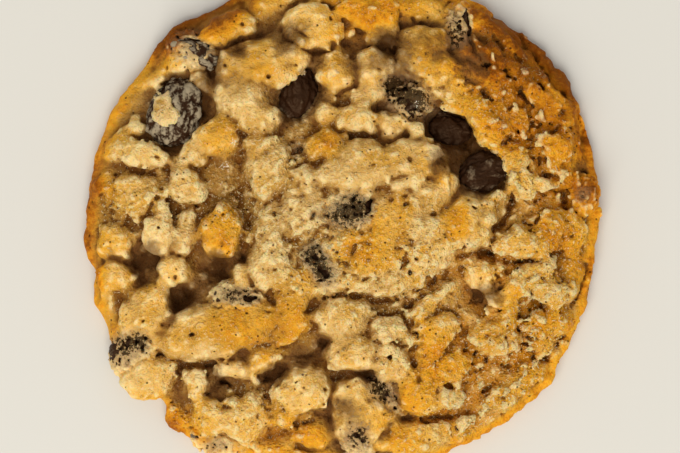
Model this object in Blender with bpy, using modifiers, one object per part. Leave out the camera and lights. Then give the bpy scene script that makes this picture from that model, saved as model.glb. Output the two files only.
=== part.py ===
"""An oatmeal raisin cookie: one baked round of oat dough, with raisins set in its top.

The dough is a turned round with a low foot of spread dough and a domed top. Pebble-like
lumps of oats and dough are laid on it, and the whole is fused into one solid with a flat
underside. Each raisin is a solid of its own, in a socket cut into the dough.

The origin is at the middle of the underside. +X is the right and +Y the far side of the
cookie as it lies, and +Z is up. Lengths are in metres.
"""

import math

import bmesh
import bpy
from mathutils import Matrix, Vector
from mathutils.bvhtree import BVHTree

MM = 0.001

# Driving dimensions.
MEAN_RADIUS = 42.3 * MM
BARE_CROWN = 10.4 * MM  # height of the dough's middle under the lumps
GAP = 0.3 * MM  # between a raisin and its socket

# How the dough is fused: the grain of the skin, its softening, and the share of faces kept.
SKIN_GRAIN = 0.9 * MM
SKIN_SOFTENING = 2
SKIN_KEPT = 0.113
TURNED_STEPS = 96
PLUG_DEPTH = 3 * MM  # spare dough under the table plane, trimmed off flat

# Half of the round's section, from the top of the middle down to the plug under the table
# plane: (share of the radius, height).
SECTION = (
    (0.00, BARE_CROWN),
    (0.24, BARE_CROWN * 0.985),
    (0.48, BARE_CROWN * 0.93),
    (0.68, BARE_CROWN * 0.84),
    (0.82, BARE_CROWN * 0.72),
    (0.91, BARE_CROWN * 0.59),
    (0.945, BARE_CROWN * 0.49),
    (0.985, 4.0 * MM),
    (1.000, 2.6 * MM),
    (0.990, 1.1 * MM),
    (0.965, 0.0),
    (0.950, -PLUG_DEPTH),
    (0.00, -PLUG_DEPTH),
)

# The outline swells and draws in round its edge: (bearing in degrees, spread in degrees,
# how far in millimetres).
SWELLS = (
    (34, 15, 1.5),
    (90, 14, 0.5),
    (120, 5, -1.2),
    (132, 4, 0.7),
    (144, 4, -0.7),
    (-8, 8, -0.6),
    (-41, 6, 0.8),
    (-66, 6, -0.9),
    (-92, 9, 0.6),
    (-124, 8, 1.5),
    (-137, 3, -1.4),
    (-145, 4.5, 1.9),
    (-162, 3, 0.9),
    (-169, 2.5, -0.9),
    (-176, 4, 0.5),
)

# Lumps of dough and oats, region by region, in millimetres and degrees:
# (x, y, length, width, turn, how far it stands out of the dome).
LUMPS = {
    "crown": (
        (6, 2, 42, 26, 8, 2.0),
        (2.5, 9, 12, 9, 0, 2.9),
        (12, 9.5, 14, 9, -5, 2.9),
        (5, -4.5, 13, 11, 0, 3.1),
        (12, -3.5, 12, 11, 0, 3.0),
        (19, -1, 10, 11, 0, 2.8),
        (-6, 3, 10, 9, 0, 2.6),
        (-9.5, -6.5, 14, 10, -20, 2.6),
        (-12, 9, 8, 9, 0, 2.2),
    ),
    "north": (
        (-16, 19.5, 9, 8, 0, 2.2),
        (-20, 13.5, 7, 6, 0, 2.0),
        (-13, 26.5, 13, 8, -10, 2.2),
        (-19, 32, 10, 6, 25, 1.8),
        (-5, 32, 10, 8.5, 10, 2.2),
        (-1, 25, 7, 8, 0, 2.0),
        (5.5, 26, 8, 8, 0, 2.1),
        (14, 27, 12, 9, -30, 2.2),
        (6, 34.5, 12, 7, 0, 2.0),
        (24, 17, 9, 7, -20, 2.0),
        (24, 26, 10, 7, -45, 1.8),
        (2.5, 17, 6, 5, 0, 1.9),
    ),
    "west": (
        (-33, 11, 8, 5, 0, 1.9),
        (-32.5, 4.5, 10, 7, -15, 1.9),
        (-25.5, 6, 6, 6.5, 0, 1.9),
        (-29.5, -1.5, 6, 7, 0, 2.2),
        (-19.5, -1.3, 7, 8.5, 20, 2.2),
        (-37, -3.5, 7, 6.5, 0, 1.6),
        (-37, -8.8, 7, 5, 0, 1.9),
        (-27.5, -7.6, 5, 5, 0, 1.9),
        (-32.2, -14.5, 8, 10, 15, 2.2),
    ),
    "south": (
        (-19.5, -17.3, 17, 10, 8, 2.4),
        (-8.5, -14.5, 8, 10, 0, 1.8),
        (-31.5, -25, 9, 6, 15, 2.0),
        (-23.8, -26.2, 4, 6, 0, 1.8),
        (-19, -31.8, 12, 8, -5, 2.4),
        (-6, -27, 9, 8, 0, 2.2),
        (0, -15, 8, 8.5, 0, 2.3),
        (2, -21, 8, 6.5, 0, 2.2),
        (8, -20.5, 7, 10, 10, 2.1),
        (2.5, -31, 9, 12, 0, 2.3),
        (14, -27.5, 13, 8, 0, 2.2),
        (12, -35.5, 14, 6.5, 8, 1.9),
        (-8, -37, 14, 6, -5, 1.7),
    ),
    "east": (
        (15, -20.5, 8, 9, 20, 1.9),
        (24.5, -18.5, 9, 10, 0, 2.2),
        (29, -3.5, 9, 5, 0, 2.2),
        (33.3, -9.8, 9, 7, -20, 2.2),
        (32, -16, 10, 6, 0, 1.8),
        (29, 7, 8, 7, 0, 1.8),
        (34, 12.5, 8, 8, 0, 2.0),
        (34.5, 0.5, 8, 7, 0, 1.9),
        (31.5, 20.5, 8, 6, -50, 1.7),
        (26, -11, 7, 6, 0, 1.8),
        (27, -27, 12, 7, 42, 1.4),
    ),
}
LUMP_THICKNESS = 6 * MM

# Raisins, in millimetres and degrees: (x, y, length, width, turn, how far it stands out).
RAISINS = (
    (-27.6, 17.9, 12.0, 9.0, 72, 1.3),
    (-24.6, 28.0, 9.0, 6.0, -25, 1.0),
    (-7.3, 21.3, 9.5, 6.5, 80, 0.35),
    (10.6, 19.9, 7.6, 5.8, 35, 0.7),
    (17.3, 15.3, 7.6, 5.6, -5, 0.35),
    (22.5, 8.2, 8.8, 6.6, 12, 0.5),
    (1.6, 1.8, 9.5, 7.0, -35, 0.9),
    (-3.4, -6.9, 9.0, 7.0, -50, 0.9),
    (-17.0, -12.6, 9.0, 5.5, -8, 0.9),
    (-34.4, -20.8, 9.5, 7.0, 50, 1.1),
    (2.3, -34.9, 7.5, 5.0, -62, 0.9),
    (7.4, -28.3, 7.5, 5.0, -60, 0.8),
    (-20.7, -36.0, 9.0, 4.2, -32, 0.4),
    (18.5, 32.0, 8.0, 5.5, 72, 0.9),
    (39.3, 4.6, 6.0, 4.4, 80, 0.8),
)
RAISIN_THICKNESS = 5.6 * MM
RAISIN_SHARE = 0.72  # of the dough's height at most, near the thin edge
RAISIN_FOLDS = 4  # folds round the raisin's long axis
FOLD_DEPTH = 0.09  # as a share of its thickness


def linear(hex_colour):
    """The linear colour of an sRGB hex value."""
    channels = [int(hex_colour[i : i + 2], 16) / 255 for i in (0, 2, 4)]
    return [c / 12.92 if c <= 0.04045 else ((c + 0.055) / 1.055) ** 2.4 for c in channels] + [1]


def food_material(name, hex_colour, roughness):
    material = bpy.data.materials.new(name)
    material.use_nodes = True
    shader = material.node_tree.nodes["Principled BSDF"]
    shader.inputs["Base Color"].default_value = linear(hex_colour)
    shader.inputs["Roughness"].default_value = roughness
    shader.inputs["Metallic"].default_value = 0
    return material


def new_object(name, mesh, collection):
    thing = bpy.data.objects.new(name, mesh)
    collection.objects.link(thing)
    return thing


def outline_radius(bearing):
    """The edge's distance from the middle, for a bearing in radians."""
    swell = 0.0
    for degrees, spread, height in SWELLS:
        away = (math.degrees(bearing) - degrees + 180) % 360 - 180
        swell += height * MM * math.exp(-((away / spread) ** 2))
    return MEAN_RADIUS + swell


def outline_middle():
    """The middle of the outline's box, which the whole cookie is centred on."""
    turns = [math.radians(degrees) for degrees in range(360)]
    xs = [outline_radius(turn) * math.cos(turn) for turn in turns]
    ys = [outline_radius(turn) * math.sin(turn) for turn in turns]
    return Vector(((min(xs) + max(xs)) / 2, (min(ys) + max(ys)) / 2, 0))


def dome_height(x, y):
    """The height of the bare dome over a point of the table plane."""
    share = math.hypot(x, y) / outline_radius(math.atan2(y, x))
    for (inner, high), (outer, low) in zip(SECTION, SECTION[1:]):
        if inner <= share <= outer:
            return high + (low - high) * (share - inner) / (outer - inner)
    return 0.0


def dome_lean(x, y):
    """The turn from straight up to the way the bare dome faces, over a point."""
    step = 2 * MM
    slope_x = (dome_height(x + step, y) - dome_height(x - step, y)) / (2 * step)
    slope_y = (dome_height(x, y + step) - dome_height(x, y - step)) / (2 * step)
    upright = Vector((0, 0, 1))
    return upright.rotation_difference(Vector((-slope_x, -slope_y, 1))).to_matrix().to_4x4()


def turned_round():
    """The bare round: its section turned once, then drawn out to the uneven outline."""
    profile = bpy.data.meshes.new("section")
    points = [(share * MEAN_RADIUS, 0, height) for share, height in SECTION]
    profile.from_pydata(points, [(i, i + 1) for i in range(len(points) - 1)], [])
    blank = new_object("round_blank", profile, tools)
    screw = blank.modifiers.new("turn", "SCREW")
    screw.steps = TURNED_STEPS
    screw.render_steps = TURNED_STEPS
    screw.use_merge_vertices = True
    screw.merge_threshold = 0.01 * MM
    turned = bpy.data.meshes.new_from_object(blank.evaluated_get(bpy.context.evaluated_depsgraph_get()))
    bpy.data.objects.remove(blank)
    for vertex in turned.vertices:
        bearing = math.atan2(vertex.co.y, vertex.co.x)
        stretch = outline_radius(bearing) / MEAN_RADIUS
        vertex.co.x *= stretch
        vertex.co.y *= stretch
    return turned


def lay_lump(bm, x, y, length, width, turn, rise):
    """Adds a flattened pebble of dough that follows the dome's slope."""
    x, y, rise = x * MM, y * MM, rise * MM
    centre = Vector((x, y, dome_height(x, y) + rise - LUMP_THICKNESS / 2))
    size = Matrix.Diagonal((length * MM, width * MM, LUMP_THICKNESS, 1))
    turned = Matrix.Rotation(math.radians(turn), 4, "Z")
    place = Matrix.Translation(centre) @ dome_lean(x, y) @ turned @ size
    bmesh.ops.create_uvsphere(bm, u_segments=24, v_segments=12, radius=0.5, matrix=place)


def fused_dough():
    """The round and its lumps, fused into one skin and trimmed flat underneath."""
    bm = bmesh.new()
    bm.from_mesh(turned_round())
    for region in LUMPS.values():
        for lump in region:
            lay_lump(bm, *lump)
    bmesh.ops.translate(bm, verts=bm.verts, vec=-outline_middle())
    mesh = bpy.data.meshes.new("dough")
    bm.to_mesh(mesh)
    bm.free()
    mesh.shade_smooth()
    dough = new_object("dough", mesh, cookie)
    dough.data.materials.append(food_material("baked_oat_dough", "d9a860", 0.75))

    fuse = dough.modifiers.new("fuse", "REMESH")
    fuse.mode = "VOXEL"
    fuse.voxel_size = SKIN_GRAIN
    soften = dough.modifiers.new("soften", "SMOOTH")
    soften.factor = 0.5
    soften.iterations = SKIN_SOFTENING
    thin = dough.modifiers.new("thin out", "DECIMATE")
    thin.ratio = SKIN_KEPT
    trim = dough.modifiers.new("trim flat", "BOOLEAN")
    trim.operation = "DIFFERENCE"
    trim.object = table_block()
    return dough


def table_block():
    """A cutter as big as the table under the cookie, its top on the table plane."""
    bm = bmesh.new()
    depth = 4 * PLUG_DEPTH
    size = Matrix.Diagonal((4 * MEAN_RADIUS, 4 * MEAN_RADIUS, depth, 1))
    bmesh.ops.create_cube(bm, size=1, matrix=Matrix.Translation((0, 0, -depth / 2)) @ size)
    return cutter("table_block", bm, tools)


def cutter(name, bm, collection):
    mesh = bpy.data.meshes.new(name)
    bm.to_mesh(mesh)
    bm.free()
    block = new_object(name, mesh, collection)
    block.display_type = "WIRE"
    block.hide_render = True
    return block


def raisin_form(length, width, thickness, fold_depth):
    """A dried berry, its long axis along X, with folds that twist from end to end."""
    bm = bmesh.new()
    lie_down = Matrix.Rotation(math.pi / 2, 4, "Y")
    bmesh.ops.create_uvsphere(bm, u_segments=12, v_segments=8, radius=0.5, matrix=lie_down)
    for vertex in bm.verts:
        along, across, up = vertex.co
        around = math.atan2(up, across)
        fold = 1 + fold_depth * math.cos(RAISIN_FOLDS * around + 3 * along)
        vertex.co = (along * length, across * width * fold, up * thickness * fold)
    return bm


def set_raisins(dough):
    """Sets each raisin into the dough under it, and cuts its socket."""
    skin = BVHTree.FromObject(dough, bpy.context.evaluated_depsgraph_get())
    finish = food_material("raisin_skin", "2a1712", 0.45)
    for number, (x, y, length, width, turn, proud) in enumerate(RAISINS, start=1):
        above = Vector((x * MM, y * MM, 4 * BARE_CROWN)) - outline_middle()
        surface = skin.ray_cast(above, Vector((0, 0, -1)))[0]
        thickness = min(RAISIN_THICKNESS, RAISIN_SHARE * surface.z)
        down = Matrix.Translation((0, 0, proud * MM - thickness / 2))
        turned = Matrix.Rotation(math.radians(turn), 4, "Z")
        place = Matrix.Translation(surface) @ down @ dome_lean(x * MM, y * MM) @ turned

        sizes = [length * MM, width * MM, thickness]
        berry = raisin_form(*sizes, FOLD_DEPTH)
        bmesh.ops.transform(berry, matrix=place, verts=berry.verts)
        mesh = bpy.data.meshes.new(f"raisin_{number:02d}")
        berry.to_mesh(mesh)
        berry.free()
        mesh.shade_smooth()
        raisin = new_object(f"raisin_{number:02d}", mesh, cookie)
        raisin.data.materials.append(finish)

        room = [size * (1 + FOLD_DEPTH) + 2.6 * GAP for size in sizes]
        socket = raisin_form(*room, 0)
        bmesh.ops.transform(socket, matrix=place, verts=socket.verts)
        cutter(f"socket_{number:02d}", socket, sockets)

    cut = dough.modifiers.new("cut sockets", "BOOLEAN")
    cut.operation = "DIFFERENCE"
    cut.operand_type = "COLLECTION"
    cut.collection = sockets


def new_collection(name):
    collection = bpy.data.collections.new(name)
    bpy.context.scene.collection.children.link(collection)
    return collection


for old in list(bpy.data.objects):
    bpy.data.objects.remove(old)
cookie = new_collection("oatmeal_raisin_cookie")
tools = new_collection("tools")
sockets = new_collection("sockets")

set_raisins(fused_dough())
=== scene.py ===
# %% [markdown]
# # An oatmeal raisin cookie
#
# The real thing is a ball of stiff dough, full of rolled oats and raisins, that slumped into a
# round while it baked. Its top is a heap of pebbles: oat flakes and lumps of dough that lean on
# each other, pale where they stand proud, golden where the sugar browned, and taupe to nearly
# black down in the clefts between them. The raisins sit in that heap, some bare, some under a
# torn film of dough.
#
# The measured solids come first, as a fixed frame. Everything below is built around them: the
# dough's skin as a field of distances, the raisins from their own solids, loose crumbs with
# Geometry Nodes, then the materials, the table, the light and the camera.

# %% Load the measured solids
import math

import bpy
import numpy as np
import openvdb
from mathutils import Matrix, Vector


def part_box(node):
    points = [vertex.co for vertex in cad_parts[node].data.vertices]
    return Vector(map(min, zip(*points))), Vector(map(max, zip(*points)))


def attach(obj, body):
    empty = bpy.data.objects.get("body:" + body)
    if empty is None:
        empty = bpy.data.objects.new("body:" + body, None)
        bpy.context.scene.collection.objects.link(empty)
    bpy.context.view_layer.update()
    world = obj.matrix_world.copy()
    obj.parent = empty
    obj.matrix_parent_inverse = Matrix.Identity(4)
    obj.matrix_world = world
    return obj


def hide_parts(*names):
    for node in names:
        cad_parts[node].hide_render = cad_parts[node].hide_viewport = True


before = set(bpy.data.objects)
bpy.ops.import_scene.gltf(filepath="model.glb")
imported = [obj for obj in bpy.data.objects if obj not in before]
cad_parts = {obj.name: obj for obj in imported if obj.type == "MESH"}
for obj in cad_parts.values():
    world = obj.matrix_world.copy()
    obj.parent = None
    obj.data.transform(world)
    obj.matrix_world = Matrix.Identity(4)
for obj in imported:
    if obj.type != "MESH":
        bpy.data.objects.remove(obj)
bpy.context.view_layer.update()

MM = 0.001
dough_low, dough_high = (Vector(corner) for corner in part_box("dough"))
dough_size = dough_high - dough_low
dough_middle = (dough_low + dough_high) / 2
raisin_names = sorted(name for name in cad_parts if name.startswith("raisin"))
print("dough", [round(side / MM, 1) for side in dough_size], "mm,", len(raisin_names), "raisins")

# %% [markdown]
# ## Small tools
#
# Colours are written as sRGB hex values, the way a colour picker shows them, and Blender's
# sockets want linear light, so one function turns them over. A second one adds a node to a
# tree, sets it and links it. Three more do what every finish here needs again and again: start
# an empty material, add up signals, and lay one colour over another where a signal rises.


# %% Colour and node helpers
def linear(hex_colour):
    channels = [int(hex_colour[i : i + 2], 16) / 255 for i in (1, 3, 5)]
    return [c / 12.92 if c <= 0.04045 else ((c + 0.055) / 1.055) ** 2.4 for c in channels] + [1]


def add_node(tree, kind, settings=None, inputs=None):
    """Adds a node. An input's value is a number, a colour, or the socket to link it to."""
    node = tree.nodes.new(kind)
    for name, value in (settings or {}).items():
        setattr(node, name, value)
    for name, value in (inputs or {}).items():
        if isinstance(value, bpy.types.NodeSocket):
            tree.links.new(value, node.inputs[name])
        else:
            node.inputs[name].default_value = value
    return node


def new_finish(name):
    """An empty material, its node tree, and the place on the piece that its patterns read."""
    material = bpy.data.materials.new(name)
    material.use_nodes = True
    tree = material.node_tree
    tree.nodes.clear()
    return material, tree, add_node(tree, "ShaderNodeTexCoord").outputs["Object"]


def weighted_sum(tree, total, parts):
    """A number plus some signals, each times its weight."""
    for signal, weight in parts:
        inputs = {0: signal, 1: weight, 2: total}
        total = add_node(tree, "ShaderNodeMath", {"operation": "MULTIPLY_ADD"}, inputs).outputs[0]
    return total


def covered(tree, colour, cover, signal, low, high, most=1.0, where=None):
    """A colour under another one that thickens as a signal goes from low to high, and how thick it is."""
    inputs = {"Value": signal, "From Min": low, "From Max": high, "To Max": most}
    share = add_node(tree, "ShaderNodeMapRange", {"interpolation_type": "SMOOTHSTEP"}, inputs).outputs[0]
    if where:
        share = add_node(tree, "ShaderNodeMath", {"operation": "MULTIPLY"}, {0: share, 1: where}).outputs[0]
    inputs = {"Fac": share, "Color1": colour, "Color2": cover}
    return add_node(tree, "ShaderNodeMixRGB", {}, inputs).outputs["Color"], share


# %% [markdown]
# ## The dough as a field of distances
#
# The skin is one piece, but it is a heap of a hundred lumps that melt into each other. It could
# be sculpted by hand, or made of overlapping spheres and remeshed. Here it is a field instead:
# a block of small cells, each holding the distance from its middle to the nearest skin,
# negative inside. Two shapes join by taking the smaller distance of each cell, a cleft is cut
# by taking the larger one, and a blend between the two gives the soft seam that dough has.
#
# The start is the measured dough and its raisins. OpenVDB, which comes with Blender, turns
# their faces into distances.

# %% A block of cells round the cookie
CELL = 0.25 * MM
ROOM = 2.0 * MM  # empty cells round the solid
BAND = 12  # how many cells away from the skin the distances are exact

low_cell = np.floor((np.array(dough_low) - ROOM) / CELL).astype(int)
high_cell = np.ceil((np.array(dough_high) + ROOM) / CELL).astype(int)
cell_counts = high_cell - low_cell + 1
cell_x, cell_y, cell_z = ((low_cell[axis] + np.arange(cell_counts[axis])) * CELL for axis in range(3))


def distances_to(points, triangles, quads=None):
    """The distance from each cell to a closed skin, negative inside."""
    grid = openvdb.FloatGrid.createLevelSetFromPolygons(
        points.astype(np.float32),
        triangles=triangles.astype(np.uint32),
        quads=quads,
        transform=openvdb.createLinearTransform(voxelSize=CELL),
        halfWidth=BAND,
    )
    cells = np.zeros(cell_counts, np.float32)
    grid.copyToArray(cells, ijk=tuple(int(i) for i in low_cell))
    return cells


def skin_of(cells, away=0.0, start=low_cell):
    """The skin of a field, or the one that runs a distance away from it, as faces."""
    grid = openvdb.FloatGrid(BAND * CELL)
    grid.copyFromArray(cells.astype(np.float32), ijk=tuple(int(i) for i in start))
    grid.transform = openvdb.createLinearTransform(voxelSize=CELL)
    return grid.convertToPolygons(isovalue=away)


def node_triangles(names):
    """The corner points and triangles of some of the measured solids, together."""
    points, triangles, count = [], [], 0
    for name in names:
        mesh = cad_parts[name].data
        corners = np.empty(len(mesh.vertices) * 3, np.float32)
        mesh.vertices.foreach_get("co", corners)
        faces = np.empty(len(mesh.loops), np.int32)
        mesh.loops.foreach_get("vertex_index", faces)
        points.append(corners.reshape(-1, 3))
        triangles.append(faces.reshape(-1, 3) + count)
        count += len(mesh.vertices)
    return np.concatenate(points), np.concatenate(triangles)


print("cells", cell_counts, "of", CELL / MM, "mm")

# %% [markdown]
# A raisin and its socket have a thin gap between them. The skin is pushed out past half that
# gap, which closes it, then measured again and drawn back. After that the field is blurred a
# little, which takes the facets off.

# %% Close the gaps and soften the facets
CLOSING = 0.6 * MM
SOFTENING = 0.45 * MM
BLUR_REACH = 2.5  # how far a blur's weights go, for its size


def blurred(cells, sigma):
    """A Gaussian blur, along one axis after another."""
    reach = int(math.ceil(BLUR_REACH * sigma / CELL))
    steps = np.arange(-reach, reach + 1)
    weights = np.exp(-0.5 * (steps * CELL / sigma) ** 2)
    weights /= weights.sum()
    for axis in range(3):
        padding = [(reach, reach) if a == axis else (0, 0) for a in range(3)]
        padded = np.pad(cells, padding, mode="edge")
        length = cells.shape[axis]
        cells = sum(
            weight * np.take(padded, range(start, start + length), axis=axis)
            for start, weight in enumerate(weights.astype(np.float32))
        )
    return cells


measured = distances_to(*node_triangles(["dough"] + raisin_names))
swollen = skin_of(measured, CLOSING)
closed = distances_to(*swollen) + CLOSING
solid = blurred(closed, SOFTENING)
print("closed solid:", int((solid < 0).sum()), "cells inside")

# %% [markdown]
# ## Noise
#
# Dough is never smooth: it dried and cracked as it rose. Lattice noise gives that, and it also
# tears the edges of clefts, colours and films. Blender has it too, point by point, but here it
# is wanted for millions of cells, so it is written out for whole arrays.


# %% Lattice noise
CORNERS = [np.array([corner & 1, corner >> 1 & 1, corner >> 2 & 1]) for corner in range(8)]  # of a cell
NOISE_GAIN = 1.6  # brings the highest peaks to about 1
PATCH_FALL = 1.2  # a patch fades to 0.3 of its amount at its radius


def mixed(lattice, seed):
    """A number between 0 and 1 for each whole lattice point, from a hash of its indices."""
    x, y, z = (lattice[:, axis].astype(np.uint32) for axis in range(3))
    n = x * np.uint32(374761393) + y * np.uint32(668265263) + z * np.uint32(2147483647)
    n = (n + np.uint32(seed)) * np.uint32(1274126177)
    n = (n ^ (n >> np.uint32(13))) * np.uint32(1103515245)
    return (n ^ (n >> np.uint32(16))).astype(np.float32) / np.float32(4294967295)


def noise(points, size, seed):
    """Smooth noise between about -1 and 1, whose swells are as large as size."""
    scaled = points / size
    whole = np.floor(scaled)
    part = (scaled - whole).astype(np.float32)
    whole = whole.astype(np.int64)
    fade = part * part * part * (part * (part * 6 - 15) + 10)
    total = np.zeros(len(points), np.float32)
    for step in CORNERS:
        lattice = whole + step
        away = part - step.astype(np.float32)
        angle = mixed(lattice, seed) * np.float32(2 * math.pi)
        height = mixed(lattice, seed + 57) * 2 - 1
        flat = np.sqrt(1 - height * height)
        slope = away[:, 0] * np.cos(angle) * flat + away[:, 1] * np.sin(angle) * flat + away[:, 2] * height
        weight = np.prod(np.where(step, fade, 1 - fade), axis=1)
        total += weight * slope
    return total * np.float32(NOISE_GAIN)


def patches(points, places):
    """How deep each point lies in soft round patches, each (x, y, radius, amount)."""
    total = np.zeros(len(points), np.float32)
    for x, y, radius, amount in places:
        across, along = points[:, 0] - dough_middle.x - x * MM, points[:, 1] - dough_middle.y - y * MM
        total += amount * np.exp(-PATCH_FALL * (across**2 + along**2) / (radius * MM) ** 2)
    return total


def smooth_step(values, low, high):
    """From 0 to 1 as the values go from low to high, without a kink at either end."""
    share = np.clip((values - low) / (high - low), 0, 1)
    return share * share * (3 - 2 * share)


# %% [markdown]
# ## Laying lumps on the dome
#
# Every lump below is listed one by one, as a baker's cookie has no rule for where its oats
# end up. Its place is in millimetres from the middle of the dough. Its height isn't given: it
# settles on the solid under it, leans as that solid leans there, and stands out by its rise.
#
# A rolled oat and a pebble of dough have much the same shape, a thick disc with a round edge
# and a slightly domed top. Three slow waves round its edge keep it from being a plain oval, and
# the whole map that lumps are laid on is bent by noise, so that no two edges run alike.


# %% How a lump settles
STEEPEST = 0.9  # a lump leans no further than this slope
FOOT = 2 * MM  # a plane is laid on what is higher than this, as the rim's side would tip it
FEWEST = 12  # cells that a plane needs


def top_heights(cells):
    """The height of the skin over each column of cells, or nought where there is none."""
    inside = cells < 0
    highest = inside.shape[2] - 1 - np.argmax(inside[:, :, ::-1], axis=2)
    above = np.minimum(highest + 1, inside.shape[2] - 1)
    deep = np.take_along_axis(cells, highest[:, :, None], axis=2)[:, :, 0]
    out = np.take_along_axis(cells, above[:, :, None], axis=2)[:, :, 0]
    part = deep / np.minimum(deep - out, -1e-9)
    return np.where(inside.any(axis=2), cell_z[highest] + part * CELL, 0.0)


def window(axis_cells, low, high):
    start, stop = np.searchsorted(axis_cells, (low, high))
    return slice(max(start, 0), min(stop, len(axis_cells)))


def settle(x, y, reach):
    """The height under a lump and the way the skin faces there, from a plane laid on it."""
    columns, rows = window(cell_x, x - reach, x + reach), window(cell_y, y - reach, y + reach)
    heights = ground[columns, rows]
    across = np.broadcast_to((cell_x[columns] - x)[:, None], heights.shape)
    along = np.broadcast_to((cell_y[rows] - y)[None, :], heights.shape)
    near = (np.hypot(across, along) < reach) & (heights > FOOT)
    if near.sum() < FEWEST:
        near = np.ones(heights.shape, bool)
    spots = np.stack([across[near], along[near], np.ones(near.sum())], axis=1)
    slope_x, slope_y, height = np.linalg.lstsq(spots, heights[near], rcond=None)[0]
    steep = max(1.0, math.hypot(slope_x, slope_y) / STEEPEST)
    return height, Vector((-slope_x / steep, -slope_y / steep, 1)).normalized()


ground = top_heights(solid)
print("the dome's top is", round(float(ground.max()) / MM, 1), "mm high")


# %% The shape of a lump
WAVES = ((2, 0.06), (3, 0.07), (5, 0.04))  # how many waves run round the edge, and how deep each is
ROUNDED = 0.85  # how much of half its thickness the edge is rounded with


def soft_min(a, b, soft):
    """The smaller of two distances, with a fillet of about that size between them."""
    share = np.clip(0.5 + 0.5 * (b - a) / soft, 0, 1)
    return b + (a - b) * share - soft * share * (1 - share)


def soft_max(a, b, soft):
    return -soft_min(-a, -b, soft)


def box_of_cells(centre, reach):
    """The cells round a point, as slices of the field and as offsets from the point."""
    cut = tuple(window(axis, c - reach, c + reach) for axis, c in zip((cell_x, cell_y, cell_z), centre))
    grids = np.meshgrid(
        cell_x[cut[0]] - centre[0], cell_y[cut[1]] - centre[1], cell_z[cut[2]] - centre[2], indexing="ij"
    )
    return cut, [grid.astype(np.float32) for grid in grids]


def leaning_axes(normal, turn):
    """Three directions: along the lump, across it, and out of the skin."""
    upright = Vector((0, 0, 1)).rotation_difference(normal)
    along = upright @ Vector((math.cos(math.radians(turn)), math.sin(math.radians(turn)), 0))
    return along, normal.cross(along), normal


def disc_distance(offsets, axes, half_length, half_width, half_thick, dome, phases):
    """The distance to a thick disc with a round edge, a domed top and a wavy outline."""
    u, v, w = (sum(offset * axis[i] for i, offset in enumerate(offsets)) for axis in axes)
    around = np.arctan2(v / half_width, u / half_length)
    wavy = 1 + sum(depth * np.sin(count * around + phase) for (count, depth), phase in zip(WAVES, phases))
    share = np.sqrt((u / half_length) ** 2 + (v / half_width) ** 2) / wavy
    fall = np.sqrt((u / half_length**2) ** 2 + (v / half_width**2) ** 2)
    fall = fall + 1e-3 / half_width  # never nought, as it is in the middle
    from_edge = share * (share - 1) / fall
    from_top = np.abs(w + dome * share**2) - half_thick
    corner = ROUNDED * half_thick
    out_edge, out_top = from_edge + corner, from_top + corner
    outside = np.hypot(np.maximum(out_edge, 0), np.maximum(out_top, 0))
    return outside + np.minimum(np.maximum(out_edge, out_top), 0) - corner


# %% [markdown]
# The lists name the lumps region by region, starting from the raised crown in the middle. Each
# is (x, y, length, width, turn, rise, gold): millimetres and degrees, and then how far its top
# has browned, from 0 for a pale, floury oat to 1 for dough baked to a deep gold.

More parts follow.
